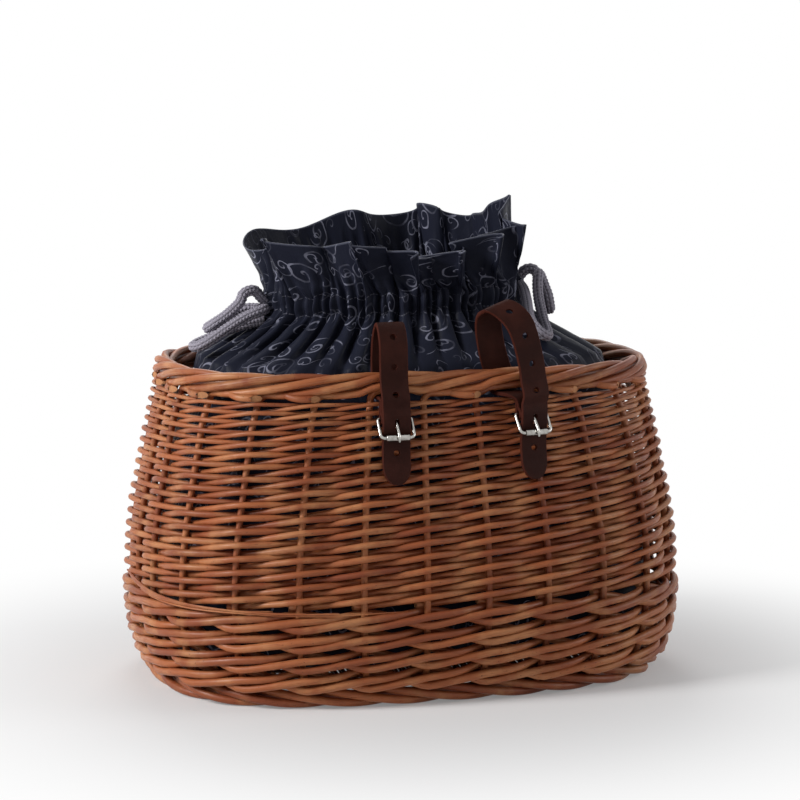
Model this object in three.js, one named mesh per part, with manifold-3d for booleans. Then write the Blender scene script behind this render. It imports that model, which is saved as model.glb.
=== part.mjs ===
// Wicker bicycle basket with a drawstring liner and two buckled handlebar straps.
// Millimetres, +Z up. The side with the straps faces -Y. The origin is on the floor, in the
// middle of the foot. The wall is real weaving: upright stakes, a three-rod wale low down and
// French rand above it, with every rod passing in front of and behind the stakes.

import * as THREE from 'three';
import { mergeVertices } from 'three/addons/utils/BufferGeometryUtils.js';
import Module from 'manifold-3d';

const wasm = await Module();
wasm.setup();

// Basket outline, measured on the outside of the weave
const basketLength = 400;
const basketDepth = 290;
const basketHeight = 232;
const planPower = 2.88; // 2 gives an ellipse, more gives squarer corners
const turnHeight = 37; // where the flare of the foot turns into the belly
const bellyHeight = 100; // the widest place
const shoulderHeight = 166;
const footInset = 15.3;
const turnInset = 1.7;
const shoulderInset = 10.4;
const rimInset = 23.3;

// Willow
const stakeCount = 25; // odd, so that a rod changes sides on each round
const stakeDiameter = 4.8;
const randButt = 4.4; // a rand rod is this thick where it starts, and tapers to its tip
const randTip = 2.8;
const waleRodDiameter = 4.2;
const weaveGap = 0.4; // between rods that cross
const rodTail = 0.17; // how far a cut end runs past its last stake, in stake spacings
const waleSeam = 15; // the stake where each round of the wale steps up to the next
const waleStepStakes = 3; // stakes over which it climbs
const footHeight = 14;
const footThickness = 18;
const footSetIn = 2; // how far the foot's middle lies inside the stakes' line
const waleTop = 70;
const rimHeight = 16;
const rimThickness = 15;
const ropeDepth = 1.1; // how deep the twist of the two borders is
const ropeTurns = 13; // turns of that twist in one round
const stakeIntoRim = 7; // the stakes turn over inside the border

// Base
const baseThickness = 8;
const baseRidge = 0.7;
const baseStickDiameter = 5;
const baseStickCount = 4;
const baseStickSpacing = 40;

// Liner and drawcord
const clothThickness = 1.5;
const clothGap = 0.5; // between the cloth and what it lies against
const neckHalfLength = 94;
const neckHalfDepth = 62;
const channelAboveRim = 42; // middle of the cord channel
const channelTilt = 4; // the right side of the neck stands this much higher, the left lower
const channelThickness = 10.4;
const channelWidth = 13;
const ruffleAboveChannel = 57; // edge of the ruffle
const ruffleHalfLength = 106;
const ruffleHalfDepth = 72;
const ruffleWave = 11;
const neckWave = 4;
const foldCount = 10;
const cordDiameter = 6.3;
const cordGap = 0.3;

// Leather straps
const strapWidth = 20;
const strapThickness = 2.6;
const strapCentre = 43; // from the middle of the basket to the middle of a strap
const strapGap = 0.4;
const archAboveRim = 32.7; // middle of the leather at the top of the handlebar loop
const tailBelowHeel = 45; // the tail's tip hangs this far below the buckle's heel bar
const holeDiameter = 4.5;
const holeSpacing = 20;
const holesFromProng = [-4, -3, -2, -1, 1]; // the other holes, counted from the prong's
const rightStrapShift = 12; // the right strap's front leg hangs this much further right
const rightStrapYaw = 9; // degrees that it is turned by
const rightStrapLift = 1.5; // it lies over a stake and stands out by this much
const betweenStakes = 1.2; // the weave is this much thinner under the left strap

// Buckles and rivets
const buckleWire = 2.4;
const buckleLength = 15; // heel bar to toe bar
const buckleInside = 21.6;
const buckleToeCorner = 3;
const buckleHeelCorner = 1.5;
const buckleTilt = 35; // degrees out of the vertical
const heelBelowBorder = 15; // heel bar to the underside of the rim border
const rollerDiameter = 4.6;
const rollerLength = 16.6;
const rollerGap = 0.3;
const prongWire = 2.2;
const prongGap = 0.3;
const prongPast = 3; // how far the tip passes the roller
const prongRoom = 0.6; // between the prong and the sides of its hole
const prongHoleBelow = 3.4; // middle of the hole under the heel bar
const prongHoleLength = 8;
const rivetFlange = 5.6;
const rivetBarrel = 3.6;
const rivetBore = 2.3;
const rivetFlangeThickness = 0.7;
const rivetGap = 0.25;
const rivetAbove = 7.3; // rivet's height over the heel bar

const degrees = Math.PI / 180;
const up = new THREE.Vector3(0, 0, 1);

// Materials, as the photographed basket has them
const materials = {
  willow: new THREE.MeshStandardMaterial({ color: 0x9a5f3c, roughness: 0.5, metalness: 0 }),
  cloth: new THREE.MeshStandardMaterial({ color: 0x2b2d38, roughness: 0.6, metalness: 0 }),
  cord: new THREE.MeshStandardMaterial({ color: 0x77747d, roughness: 0.85, metalness: 0 }),
  leather: new THREE.MeshStandardMaterial({ color: 0x3a1f18, roughness: 0.45, metalness: 0 }),
  nickel: new THREE.MeshStandardMaterial({ color: 0xd2d2d0, roughness: 0.2, metalness: 1 }),
};

// Geometry helpers

// A closed body through rings of equal point counts. Unless it is a loop, its two ends are capped.
function loft(rings, loop = false) {
  const count = rings[0].length;
  const positions = rings.flat().flatMap((point) => [point.x, point.y, point.z]);
  const index = [];
  const spans = loop ? rings.length : rings.length - 1;
  for (let i = 0; i < spans; i++) {
    const here = i * count;
    const next = ((i + 1) % rings.length) * count;
    for (let j = 0; j < count; j++) {
      const k = (j + 1) % count;
      index.push(here + j, here + k, next + k, here + j, next + k, next + j);
    }
  }
  if (!loop) {
    const last = (rings.length - 1) * count;
    for (let j = 1; j < count - 1; j++) {
      index.push(0, j + 1, j, last, last + j, last + j + 1);
    }
  }
  const geometry = new THREE.BufferGeometry();
  geometry.setAttribute('position', new THREE.Float32BufferAttribute(positions, 3));
  geometry.setIndex(index);
  return facingOut(geometry);
}

// Turns the faces of a closed body round if they point in.
function facingOut(geometry) {
  const position = geometry.getAttribute('position');
  const index = geometry.getIndex().array;
  const [a, b, c] = [new THREE.Vector3(), new THREE.Vector3(), new THREE.Vector3()];
  let volume = 0;
  for (let i = 0; i < index.length; i += 3) {
    a.fromBufferAttribute(position, index[i]);
    b.fromBufferAttribute(position, index[i + 1]);
    c.fromBufferAttribute(position, index[i + 2]);
    volume += a.dot(b.cross(c));
  }
  if (volume < 0) {
    for (let i = 0; i < index.length; i += 3) {
      [index[i + 1], index[i + 2]] = [index[i + 2], index[i + 1]];
    }
  }
  return geometry;
}

function toSolid(geometry) {
  const bare = geometry.clone();
  bare.deleteAttribute('normal');
  bare.deleteAttribute('uv');
  const merged = mergeVertices(bare, 1e-4);
  return new wasm.Manifold(new wasm.Mesh({
    numProp: 3,
    vertProperties: new Float32Array(merged.getAttribute('position').array),
    triVerts: new Uint32Array(merged.getIndex().array),
  }));
}

function fromSolid(solid) {
  const mesh = solid.getMesh();
  const geometry = new THREE.BufferGeometry();
  geometry.setAttribute('position', new THREE.BufferAttribute(mesh.vertProperties, 3));
  geometry.setIndex(new THREE.BufferAttribute(mesh.triVerts, 1));
  return geometry;
}

// A round wire or cord through points, with one ring of the section at each point.
function wire(points, radius, sides, loop = false, radii = null) {
  const rings = [];
  const count = points.length;
  let across = null;
  for (let i = 0; i < count; i++) {
    const before = points[loop ? (i + count - 1) % count : Math.max(i - 1, 0)];
    const after = points[loop ? (i + 1) % count : Math.min(i + 1, count - 1)];
    const along = after.clone().sub(before).normalize();
    if (across === null) {
      across = Math.abs(along.z) < 0.9 ? up.clone() : new THREE.Vector3(1, 0, 0);
    }
    across = across.clone().addScaledVector(along, -across.dot(along)).normalize();
    const side = along.clone().cross(across);
    const reach = radii ? radii[i] : radius;
    rings.push(Array.from({ length: sides }, (_, j) => {
      const turn = (j * 2 * Math.PI) / sides;
      return points[i].clone()
        .addScaledVector(across, reach * Math.cos(turn))
        .addScaledVector(side, reach * Math.sin(turn));
    }));
  }
  return loft(rings, loop);
}

const basket = new THREE.Group();

function addPiece(name, geometry, material) {
  const mesh = new THREE.Mesh(geometry, material);
  mesh.name = name;
  basket.add(mesh);
  return mesh;
}

// Wall surface: how far the outside lies inside the belly at each height

const outline = new THREE.SplineCurve([
  new THREE.Vector2(footInset, 0),
  new THREE.Vector2(turnInset, turnHeight),
  new THREE.Vector2(0, bellyHeight),
  new THREE.Vector2(shoulderInset, shoulderHeight),
  new THREE.Vector2(rimInset, basketHeight),
]).getPoints(200);

function smoothInset(z) {
  const i = Math.max(1, outline.findIndex((point) => point.y >= z));
  const share = (z - outline[i - 1].y) / (outline[i].y - outline[i - 1].y);
  return THREE.MathUtils.lerp(outline[i - 1].x, outline[i].x, share);
}

// The stakes run straight between these heights, and all that touches them follows the same line
const namedHeights = [0, turnHeight, bellyHeight, shoulderHeight, basketHeight];
const nearlyStraightBelow = bellyHeight;
const stations = [0];
for (let i = 1; i < namedHeights.length; i++) {
  if (namedHeights[i] !== nearlyStraightBelow) {
    stations.push((namedHeights[i - 1] + namedHeights[i]) / 2);
  }
  stations.push(namedHeights[i]);
}
const stationInsets = stations.map((z) => smoothInset(Math.min(z, basketHeight - 0.001)));

function insetAt(z) {
  const top = stations.length - 1;
  const i = Math.min(Math.max(1, stations.findIndex((height) => height >= z)), top);
  const from = z > stations[top] ? top : i;
  const share = (z - stations[from - 1]) / (stations[from] - stations[from - 1]);
  return THREE.MathUtils.lerp(stationInsets[from - 1], stationInsets[from], share);
}

const stakeRadius = stakeDiameter / 2;
const thickestRod = Math.max(randButt, waleRodDiameter);
const wallHalf = stakeRadius + weaveGap + thickestRod; // stake line to the outside of the weave

function planRadius(angle, halfLength, halfDepth) {
  const x = Math.abs(Math.cos(angle) / halfLength) ** planPower;
  const y = Math.abs(Math.sin(angle) / halfDepth) ** planPower;
  return (x + y) ** (-1 / planPower);
}

// Angles at equal steps along the wall, from the middle of the front towards +X
const planSteps = 1440;
const planAngles = Array.from({ length: planSteps + 1 }, (_, i) => (
  -Math.PI / 2 + (i * 2 * Math.PI) / planSteps
));
const planLengths = [0];
for (let i = 1; i <= planSteps; i++) {
  const [from, to] = [planAngles[i - 1], planAngles[i]].map((angle) => {
    const reach = planRadius(angle, basketLength / 2 - wallHalf, basketDepth / 2 - wallHalf);
    return new THREE.Vector2(reach * Math.cos(angle), reach * Math.sin(angle));
  });
  planLengths.push(planLengths[i - 1] + from.distanceTo(to));
}

// u counts stakes. The middle of the front lies halfway between the last stake and stake 0.
function angleAt(u) {
  const turns = (u + 0.5) / stakeCount;
  const whole = Math.floor(turns);
  const length = (turns - whole) * planLengths[planSteps];
  const i = Math.max(1, planLengths.findIndex((value) => value >= length));
  const share = (length - planLengths[i - 1]) / (planLengths[i] - planLengths[i - 1]);
  return THREE.MathUtils.lerp(planAngles[i - 1], planAngles[i], share) + whole * 2 * Math.PI;
}

function stakeLine(u, z) {
  const inset = insetAt(z) + wallHalf;
  const angle = angleAt(u);
  const reach = planRadius(angle, basketLength / 2 - inset, basketDepth / 2 - inset);
  return new THREE.Vector3(reach * Math.cos(angle), reach * Math.sin(angle), z);
}

// The wall's own directions at a place: along it, up it and out of it
function wallFrame(u, z) {
  const centre = stakeLine(u, z);
  const along = stakeLine(u + 0.01, z).sub(stakeLine(u - 0.01, z)).normalize();
  const rise = stakeLine(u, z + 0.5).sub(stakeLine(u, z - 0.5)).normalize();
  const out = along.clone().cross(rise).normalize();
  return { centre, along, rise: out.clone().cross(along), out };
}

function wallPoint(u, z, out, rise = 0) {
  const wall = wallFrame(u, z);
  return wall.centre.addScaledVector(wall.out, out).addScaledVector(wall.rise, rise);
}

// A rod's section at a stake, four-sided, with an edge to the front
function rodRing(u, z, out, radius) {
  return [
    wallPoint(u, z, out + radius),
    wallPoint(u, z, out, radius),
    wallPoint(u, z, out - radius),
    wallPoint(u, z, out, -radius),
  ];
}

function stakeRing(u, z) {
  const wall = wallFrame(u, z);
  return [wall.out, wall.along, wall.out.clone().negate(), wall.along.clone().negate()].map(
    (direction) => wall.centre.clone().addScaledVector(direction.setZ(0).normalize(), stakeRadius));
}

function wovenRod(places) {
  return loft(places.map(({ u, z, out, diameter }) => rodRing(u, z, out, diameter / 2)));
}

// Stakes and rim border: the border is the ends of the stakes, turned down and twisted together

const rimBottom = basketHeight - rimHeight;
const rimMiddle = basketHeight - rimHeight / 2;
const ropeRingsPerStake = 2;
const ropeRings = stakeCount * ropeRingsPerStake;
const ropeTwist = (i) => (i * 2 * Math.PI * ropeTurns) / ropeRings;

// A twisted border's section: angles round it, from its own middle, with its two lobes turned by twist
function ropeSection(angles, halfThickness, halfHeight, twist) {
  return angles.map((angle) => {
    const lobe = ropeDepth * (Math.cos(2 * angle - twist) - 1);
    return [(halfThickness + lobe) * Math.cos(angle), (halfHeight + lobe) * Math.sin(angle)];
  });
}

function rimBorder() {
  const rings = [];
  const angles = [0, 60, 120, 180, 240, 300].map((angle) => angle * degrees);
  const reach = rimHeight / 2 / Math.sin(60 * degrees);
  for (let i = 0; i < ropeRings; i++) {
    const u = i / ropeRingsPerStake;
    const section = ropeSection(angles, rimThickness / 2, reach, ropeTwist(i));
    rings.push(section.map(([out, rise]) => {
      const wall = wallFrame(u, rimMiddle);
      const flat = new THREE.Vector3(wall.out.x, wall.out.y, 0).normalize();
      return wall.centre.addScaledVector(flat, out).addScaledVector(up, rise);
    }));
  }
  return loft(rings, true);
}

function stake(k) {
  const bottom = footHeight + weaveGap;
  const heights = [bottom, ...stations.filter((z) => z > bottom + 6 && z < rimBottom - 6)];
  heights.push(rimBottom + stakeIntoRim);
  return loft(heights.map((z) => stakeRing(k, z)));
}

let stakesAndRim = toSolid(rimBorder());
for (let k = 0; k < stakeCount; k++) {
  stakesAndRim = stakesAndRim.add(toSolid(stake(k)));
}
addPiece('stakes_and_rim', fromSolid(stakesAndRim), materials.willow);

// French rand: a rod starts behind each stake and climbs one place at every stake it passes.
// It thins as it climbs, so the places lie closer together towards the rim.

const strapSlot = strapThickness + 2 * strapGap; // left open under the border
const randTop = rimBottom - strapSlot;
const randBottom = waleTop + weaveGap;
const randMean = (randButt + randTip) / 2;
const randRoom = randTop - randBottom - randMean;
const randSteps = 2 * Math.floor(randRoom / (2 * (randMean + weaveGap)));
const randStretch = randRoom / (randSteps * (randMean + weaveGap));
const randPlaces = [{ z: randBottom + randButt / 2, diameter: randButt }];
for (let i = 1; i <= randSteps; i++) {
  const below = randPlaces[i - 1];
  const diameter = THREE.MathUtils.lerp(randButt, randTip, i / randSteps);
  const pitch = (below.diameter + diameter) / 2 + weaveGap;
  randPlaces.push({ z: below.z + randStretch * pitch, diameter });
}

for (let k = 0; k < stakeCount; k++) {
  const places = randPlaces.map(({ z, diameter }, i) => {
    const out = stakeRadius + weaveGap + diameter / 2;
    return { u: k + i, z, diameter, out: i % 2 === 0 ? -out : out };
  });
  const [first, last] = [places[0], places.at(-1)];
  places.unshift({ ...first, u: first.u - rodTail });
  places.push({ ...last, u: last.u + rodTail });
  const name = `rand_rod_${String(k + 1).padStart(2, '0')}`;
  addPiece(name, wovenRod(places), materials.willow);
}

// How far the weave stands out of the stakes' line at a height
function weaveDepth(z) {
  const place = randPlaces.find((candidate) => candidate.z >= z) ?? randPlaces.at(-1);
  return stakeRadius + weaveGap + place.diameter;
}

// Three-rod wale: in front of two stakes and behind one, level but for the step at the seam

const waleBottom = footHeight + weaveGap;
const waleRadius = waleRodDiameter / 2;
const waleOut = stakeRadius + weaveGap + waleRadius;
const waleRods = 3;
const waleRoom = waleTop - waleBottom - waleRodDiameter;
const waleLevels = Math.floor(waleRoom / (waleRodDiameter + weaveGap)) + 1;
const waleRounds = Math.floor(waleLevels / waleRods);
const walePitch = waleRoom / (waleRounds * waleRods - 1);

const waleSteps = waleRounds * stakeCount - waleStepStakes - 1; // the rods end before the last climb

for (let rod = 0; rod < waleRods; rod++) {
  const places = [];
  for (let i = 0; i <= waleSteps; i++) {
    const passed = i + rod;
    const round = Math.floor(passed / stakeCount);
    const left = stakeCount - (passed % stakeCount);
    const climbing = round < waleRounds - 1 ? Math.max(0, 1 - left / waleStepStakes) : 0;
    const level = waleRods * (round + climbing) + rod;
    const z = waleBottom + waleRadius + level * walePitch;
    const out = (passed + 2 * rod) % waleRods === 0 ? -waleOut : waleOut;
    places.push({ u: waleSeam + passed, z, out, diameter: waleRodDiameter });
  }
  const [first, last] = [places[0], places.at(-1)];
  places.unshift({ ...first, u: first.u - rodTail });
  places.push({ ...last, u: last.u + rodTail });
  addPiece(`wale_rod_${rod + 1}`, wovenRod(places), materials.willow);
}

// Foot border, cut flat underneath where the basket stands on it

function footBorder() {
  const rings = [];
  const middle = footHeight / 2;
  const angles = [0, 75, 105, 180].map((angle) => angle * degrees);
  const reach = middle / Math.sin(75 * degrees);
  const flatHalf = footThickness * 0.32;
  for (let i = 0; i < ropeRings; i++) {
    const u = i / ropeRingsPerStake;
    const section = ropeSection(angles, footThickness / 2, reach, ropeTwist(i));
    section.push([-flatHalf, -middle], [flatHalf, -middle]);
    const { out: slanted } = wallFrame(u, middle);
    const flat = slanted.setZ(0).normalize();
    rings.push(section.map(([out, rise]) => (
      stakeLine(u, middle + rise).addScaledVector(flat, out - footSetIn)
    )));
  }
  return loft(rings, true);
}
addPiece('foot_border', footBorder(), materials.willow);

// Base: a woven plate on the foot border, with the base sticks running through it

const baseBottom = footHeight + weaveGap;
const baseMiddle = baseBottom + baseThickness / 2;
const baseUpper = baseBottom + baseThickness;
const baseTop = baseUpper + baseRidge;
const baseInset = insetAt(baseMiddle) + wallHalf + waleOut + waleRadius + 3 * weaveGap;
const baseHalfLength = basketLength / 2 - baseInset;
const baseHalfDepth = basketDepth / 2 - baseInset;
const planPoints = 24;

function planRing(halfLength, halfDepth, z, count = planPoints) {
  return Array.from({ length: count }, (_, i) => {
    const angle = (i * 2 * Math.PI) / count;
    const reach = planRadius(angle, halfLength, halfDepth);
    return new THREE.Vector3(reach * Math.cos(angle), reach * Math.sin(angle), z);
  });
}

function basePlate() {
  const rows = [0.1, 0.4, 0.7, 1];
  const rings = [];
  rows.forEach((scale, i) => {
    const ridge = i % 2 === 0 ? 0 : baseRidge;
    rings.push(planRing(scale * baseHalfLength, scale * baseHalfDepth, baseBottom + ridge));
  });
  rows.toReversed().forEach((scale, i) => {
    const ridge = i % 2 === 0 ? 0 : baseRidge;
    rings.push(planRing(scale * baseHalfLength, scale * baseHalfDepth, baseUpper + ridge));
  });
  return loft(rings);
}

function baseStick(y, diameter, extra) {
  const row = Math.abs(y) / baseHalfDepth;
  const halfLength = baseHalfLength * (1 - row ** planPower) ** (1 / planPower) + extra;
  const stick = new THREE.CylinderGeometry(diameter / 2, diameter / 2, 2 * halfLength, 8);
  stick.rotateZ(Math.PI / 2);
  stick.translate(0, y, baseMiddle);
  return stick;
}

let baseWeave = toSolid(basePlate());
for (let i = 0; i < baseStickCount; i++) {
  const y = (i - (baseStickCount - 1) / 2) * baseStickSpacing;
  baseWeave = baseWeave.subtract(toSolid(baseStick(y, baseStickDiameter + 2 * weaveGap, 5)));
  addPiece(`base_stick_${i + 1}`, baseStick(y, baseStickDiameter, -1), materials.willow);
}
addPiece('base_weave', fromSolid(baseWeave), materials.willow);

// Liner: one closed cloth body, open at the top, with a cord channel round its neck

const wallInside = 2 * wallHalf + clothGap; // belly outside to the liner
const strapBack = rimThickness / 2 + wallHalf + 2 * strapThickness; // room for a strap in the rim
const channelHeight = basketHeight + channelAboveRim;
const ruffleTop = channelHeight + ruffleAboveChannel;
const channelBottom = channelHeight - channelWidth / 2;
const channelTop = channelHeight + channelWidth / 2;

// One level of the liner: height, half axes outside, depth of the folds, cloth thickness, tilt
function insideWall(z, shrink = 0) {
  const inset = insetAt(z) + wallInside + shrink;
  return {
    z, halfLength: basketLength / 2 - inset, halfDepth: basketDepth / 2 - inset,
    wave: 0, thickness: clothThickness, tilt: 0,
  };
}
function level(z, halfLength, halfDepth, wave, thickness, tilt) {
  return { z, halfLength, halfDepth, wave, thickness, tilt };
}
const atRim = insideWall(basketHeight, strapBack - wallHalf);
const lerp = THREE.MathUtils.lerp;
const linerLevels = [
  insideWall(baseTop + clothGap, 14),
  insideWall(baseTop + clothGap + 8, 2),
  insideWall(bellyHeight),
  insideWall(shoulderHeight),
  { ...atRim, z: rimBottom - 2 * strapSlot },
  { ...atRim, z: basketHeight },
  level(lerp(basketHeight, channelBottom, 0.28), lerp(atRim.halfLength, neckHalfLength, 0.42),
    lerp(atRim.halfDepth, neckHalfDepth, 0.42), neckWave, clothThickness, 0.3),
  level(lerp(basketHeight, channelBottom, 0.62), lerp(atRim.halfLength, neckHalfLength, 0.84),
    lerp(atRim.halfDepth, neckHalfDepth, 0.84), neckWave, clothThickness, 0.6),
  level(channelBottom, neckHalfLength, neckHalfDepth, 0, channelThickness, 1),
  level(channelTop, neckHalfLength, neckHalfDepth, 0, channelThickness, 1),
  level(lerp(channelTop, ruffleTop, 0.35), lerp(neckHalfLength, ruffleHalfLength, 0.3),
    lerp(neckHalfDepth, ruffleHalfDepth, 0.3), ruffleWave / 2, clothThickness, 1),
  level(ruffleTop, ruffleHalfLength, ruffleHalfDepth, ruffleWave, clothThickness, 1),
];
const linerPoints = 4 * foldCount;

function linerRing({ z, halfLength, halfDepth, wave, tilt }, inward) {
  return Array.from({ length: linerPoints }, (_, i) => {
    const angle = (i * 2 * Math.PI) / linerPoints;
    const power = planRadius(angle, halfLength - inward, halfDepth - inward);
    const reach = power + wave * Math.cos(foldCount * angle);
    const x = reach * Math.cos(angle);
    return new THREE.Vector3(x, reach * Math.sin(angle), z + (tilt * channelTilt * x) / neckHalfLength);
  });
}

function linerBody() {
  const outside = linerLevels.map((item) => linerRing(item, 0));
  const inside = linerLevels.map((item) => linerRing(item, item.thickness));
  inside[0].forEach((point) => { point.z += clothThickness; });
  return loft([...outside, ...inside.toReversed()]);
}

const channelInward = channelThickness / 2;
const channelSteps = 24;
const channelLine = (inward) => planRing(
  neckHalfLength - inward, neckHalfDepth - inward, channelHeight, channelSteps,
).map((point) => point.setZ(channelHeight + (channelTilt * point.x) / neckHalfLength));
const cordRadius = cordDiameter / 2;

// Where the cord leaves the channel on a side, -1 left and 1 right
function cordExit(side) {
  return new THREE.Vector3(side * (neckHalfLength - channelInward + cordRadius + cordGap), 0,
    channelHeight + (side * channelTilt * (neckHalfLength - channelInward)) / neckHalfLength);
}

let liner = toSolid(linerBody());
liner = liner.subtract(toSolid(wire(channelLine(channelInward), cordRadius + cordGap, 8, true)));
for (const side of [-1, 1]) {
  const start = cordExit(side);
  const mouth = [-2 * cordGap - cordRadius, channelThickness].map((past) => (
    start.clone().add(new THREE.Vector3(side * past, 0, 0))
  ));
  liner = liner.subtract(toSolid(wire(mouth, cordRadius + 2 * cordGap, 8)));
}
addPiece('liner', fromSolid(liner), materials.cloth);
addPiece('drawcord_neck', wire(channelLine(channelInward), cordRadius, 6, true), materials.cord);

// Cord bows: from the channel out, through a short and a long loop, and back to the neck.
// Each point is an offset from the cord's exit: outwards, forwards and up.

const leftBow = [
  [0, 0, 0], [6.5, 0, 0], [12, 1, 4], [18, 3, 9.5], [26, 5, 7.5], [33.5, 6, 1.9], [45, 5, -8.7],
  [54.5, 2, -15.5], [58, -4, -19.5], [53, -9, -19.5], [44, -9.5, -15.5], [34, -9, -9.5],
  [25, -7, -5], [18, -4.5, -4.6], [12.5, 2.5, -5.4], [14, 10.5, -6], [20, 14, -8],
  [29, 15, -11.5], [45, 16, -20], [60, 15.5, -28.5], [69, 12, -32.5], [72.5, 5.5, -33],
  [68, 0, -31.5], [58, 0, -27.5], [47, 2.5, -22.5], [38, 4.5, -18.8], [28, 5.5, -16],
  [20, 6, -14.6], [13, 7, -13.8],
];
const rightBow = [
  [0, 0, 0], [6.5, 0, 0], [12, 2.5, 4.5], [15.5, 9, 9.5], [17, 18, 8], [17, 28, -1],
  [15, 37, -10], [10, 43, -15], [5.5, 38, -13], [6.5, 29, -9], [9, 20, -5.5], [14, 13, -5],
  [20, 14.5, -8], [23, 23, -11.5], [21.5, 34, -15], [17, 45, -18.5], [10, 53, -20.5],
  [3.5, 54, -20.5], [0.8, 49, -18.5], [1.4, 44.5, -16.3],
];
const bowStep = 0.8; // length of a step, in cord diameters
const bowSides = 6;

function bowPath(side, offsets) {
  const exit = cordExit(side);
  const points = offsets.map(([out, forward, rise]) => (
    new THREE.Vector3(exit.x + side * out, exit.y - forward, exit.z + rise)
  ));
  const curve = new THREE.CatmullRomCurve3(points, false, 'centripetal');
  return curve.getSpacedPoints(Math.round(curve.getLength() / (bowStep * cordDiameter)));
}

// The least gap between stretches of a cord that are at least two diameters apart along it
function selfGap(points, diameter) {
  const step = points[0].distanceTo(points[1]);
  const apart = Math.ceil((2.5 * diameter) / step);
  let least = Infinity;
  for (let i = 0; i < points.length; i++) {
    for (let j = i + apart; j < points.length; j++) {
      least = Math.min(least, points[i].distanceTo(points[j]) - diameter);
    }
  }
  return least;
}

for (const [name, side, offsets] of [['left', -1, leftBow], ['right', 1, rightBow]]) {
  const path = bowPath(side, offsets);
  console.log(`cord bow ${name}: least gap to itself ${selfGap(path, cordDiameter).toFixed(2)} mm`);
  addPiece(`cord_bow_${name}`, wire(path, cordRadius, bowSides), materials.cord);
}

// Straps. A strap's path is given by its distance in front of the basket's middle and its height.

const wireRadius = buckleWire / 2;
const halfStrap = strapThickness / 2;
const foldRadius = wireRadius + strapGap + halfStrap; // of the leather round the heel bar
const slotHeight = rimBottom - strapGap - halfStrap;
const heelHeight = rimBottom - heelBelowBorder;
const archTop = basketHeight + archAboveRim;
const tailTip = heelHeight - tailBelowHeel;

// How far in front of the middle the stakes' line lies, where a strap crosses it
function stakeFront(x, z) {
  const inset = insetAt(z) + wallHalf;
  const share = (Math.abs(x) / (basketLength / 2 - inset)) ** planPower;
  return (basketDepth / 2 - inset) * (1 - share) ** (1 / planPower);
}

// The sizes of one strap that depend on where it hangs
function strapPlan(side) {
  const shift = side > 0 ? rightStrapShift : 0;
  const frontX = side * strapCentre + shift;
  const relief = side > 0 ? -rightStrapLift : betweenStakes;
  const weaveFront = (z) => stakeFront(frontX, z) + weaveDepth(z) - relief;
  const inner = weaveFront(heelHeight + rivetAbove) + strapGap + halfStrap;
  const heel = inner + foldRadius;
  const tilt = buckleTilt * degrees;
  return {
    side, shift, frontX, weaveFront, inner, heel,
    slotX: side * strapCentre,
    yaw: side > 0 ? rightStrapYaw * degrees : 0,
    outer: inner + strapThickness + strapGap,
    toe: heel + buckleLength * Math.sin(tilt),
    toeHeight: heelHeight - buckleLength * Math.cos(tilt),
  };
}

// Stations of a strap's middle line: front distance, height, and its share of the sideways shift
function strapStations(plan) {
  const { inner, outer, heel, toe, toeHeight, weaveFront } = plan;
  const rimFront = stakeFront(plan.slotX, rimMiddle);
  const back = rimFront - rimThickness / 2 - 3 * strapGap - halfStrap;
  const front = rimFront + rimThickness / 2 + 4 * strapGap + halfStrap;
  const middle = (back + front) / 2;
  const overRivet = outer + halfStrap + rivetGap + rivetFlangeThickness + strapGap + halfStrap;
  const overHeel = heel + foldRadius + strapThickness + strapGap;
  const behindRoller = toe - rollerDiameter / 2 - strapGap - halfStrap;
  const onWeave = (z) => weaveFront(z) + strapGap + halfStrap;
  const fold = [180, 225, 270, 315, 360].map((angle) => [
    heel + foldRadius * Math.cos(angle * degrees),
    heelHeight + foldRadius * Math.sin(angle * degrees), 1,
  ]);
  return [
    [inner, heelHeight + rivetAbove + 3.6, 0.92], [inner, heelHeight + 5, 1],
    ...fold,
    [outer + 1.85, heelHeight + 2.25, 1], [outer + 0.2, heelHeight + 4, 1],
    [outer, heelHeight + 5.4, 0.98], [outer, heelHeight + rivetAbove + 2.7, 0.85],
    [outer - 1.4, slotHeight - 1, 0.55], [outer - 4.6, slotHeight, 0.25],
    [rimFront + 3, slotHeight, 0], [rimFront - 5, slotHeight, 0],
    [back + 1, slotHeight + 0.9, 0], [back, slotHeight + 3.4, 0],
    [back, rimMiddle, 0], [back - 0.5, basketHeight + 9, 0.05],
    [back + 1.6, archTop - 11, 0.15], [back + 6.6, archTop - 2.6, 0.35],
    [middle, archTop, 0.5], [front - 6, archTop - 3, 0.7], [front - 1.2, archTop - 12, 0.85],
    [front, basketHeight + 7, 0.95], [front + 1.4, rimMiddle, 1],
    [overRivet - 0.6, slotHeight, 1], [overRivet, heelHeight + rivetAbove, 1],
    [overHeel, heelHeight + 1.5, 1], [(overHeel + behindRoller) / 2 + 0.3, heelHeight - 5, 1],
    [behindRoller, toeHeight + 0.5, 1],
    [Math.max(behindRoller - 0.3, onWeave(toeHeight - 9)), toeHeight - 9, 1],
    [onWeave(toeHeight - 19) + 0.3, toeHeight - 19, 1], [onWeave(tailTip) + 0.3, tailTip, 1],
  ];
}

const tongueLength = 13;

// A strap that hangs turned also goes sideways as it goes out
function strapX(plan, front, share) {
  return plan.slotX + share * (plan.shift + (front - plan.heel) * Math.tan(plan.yaw));
}

function strapCurve(plan) {
  const points = strapStations(plan).map(([front, z, share]) => (
    new THREE.Vector3(strapX(plan, front, share), -front, z)
  ));
  return new THREE.CatmullRomCurve3(points, false, 'centripetal');
}

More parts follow.
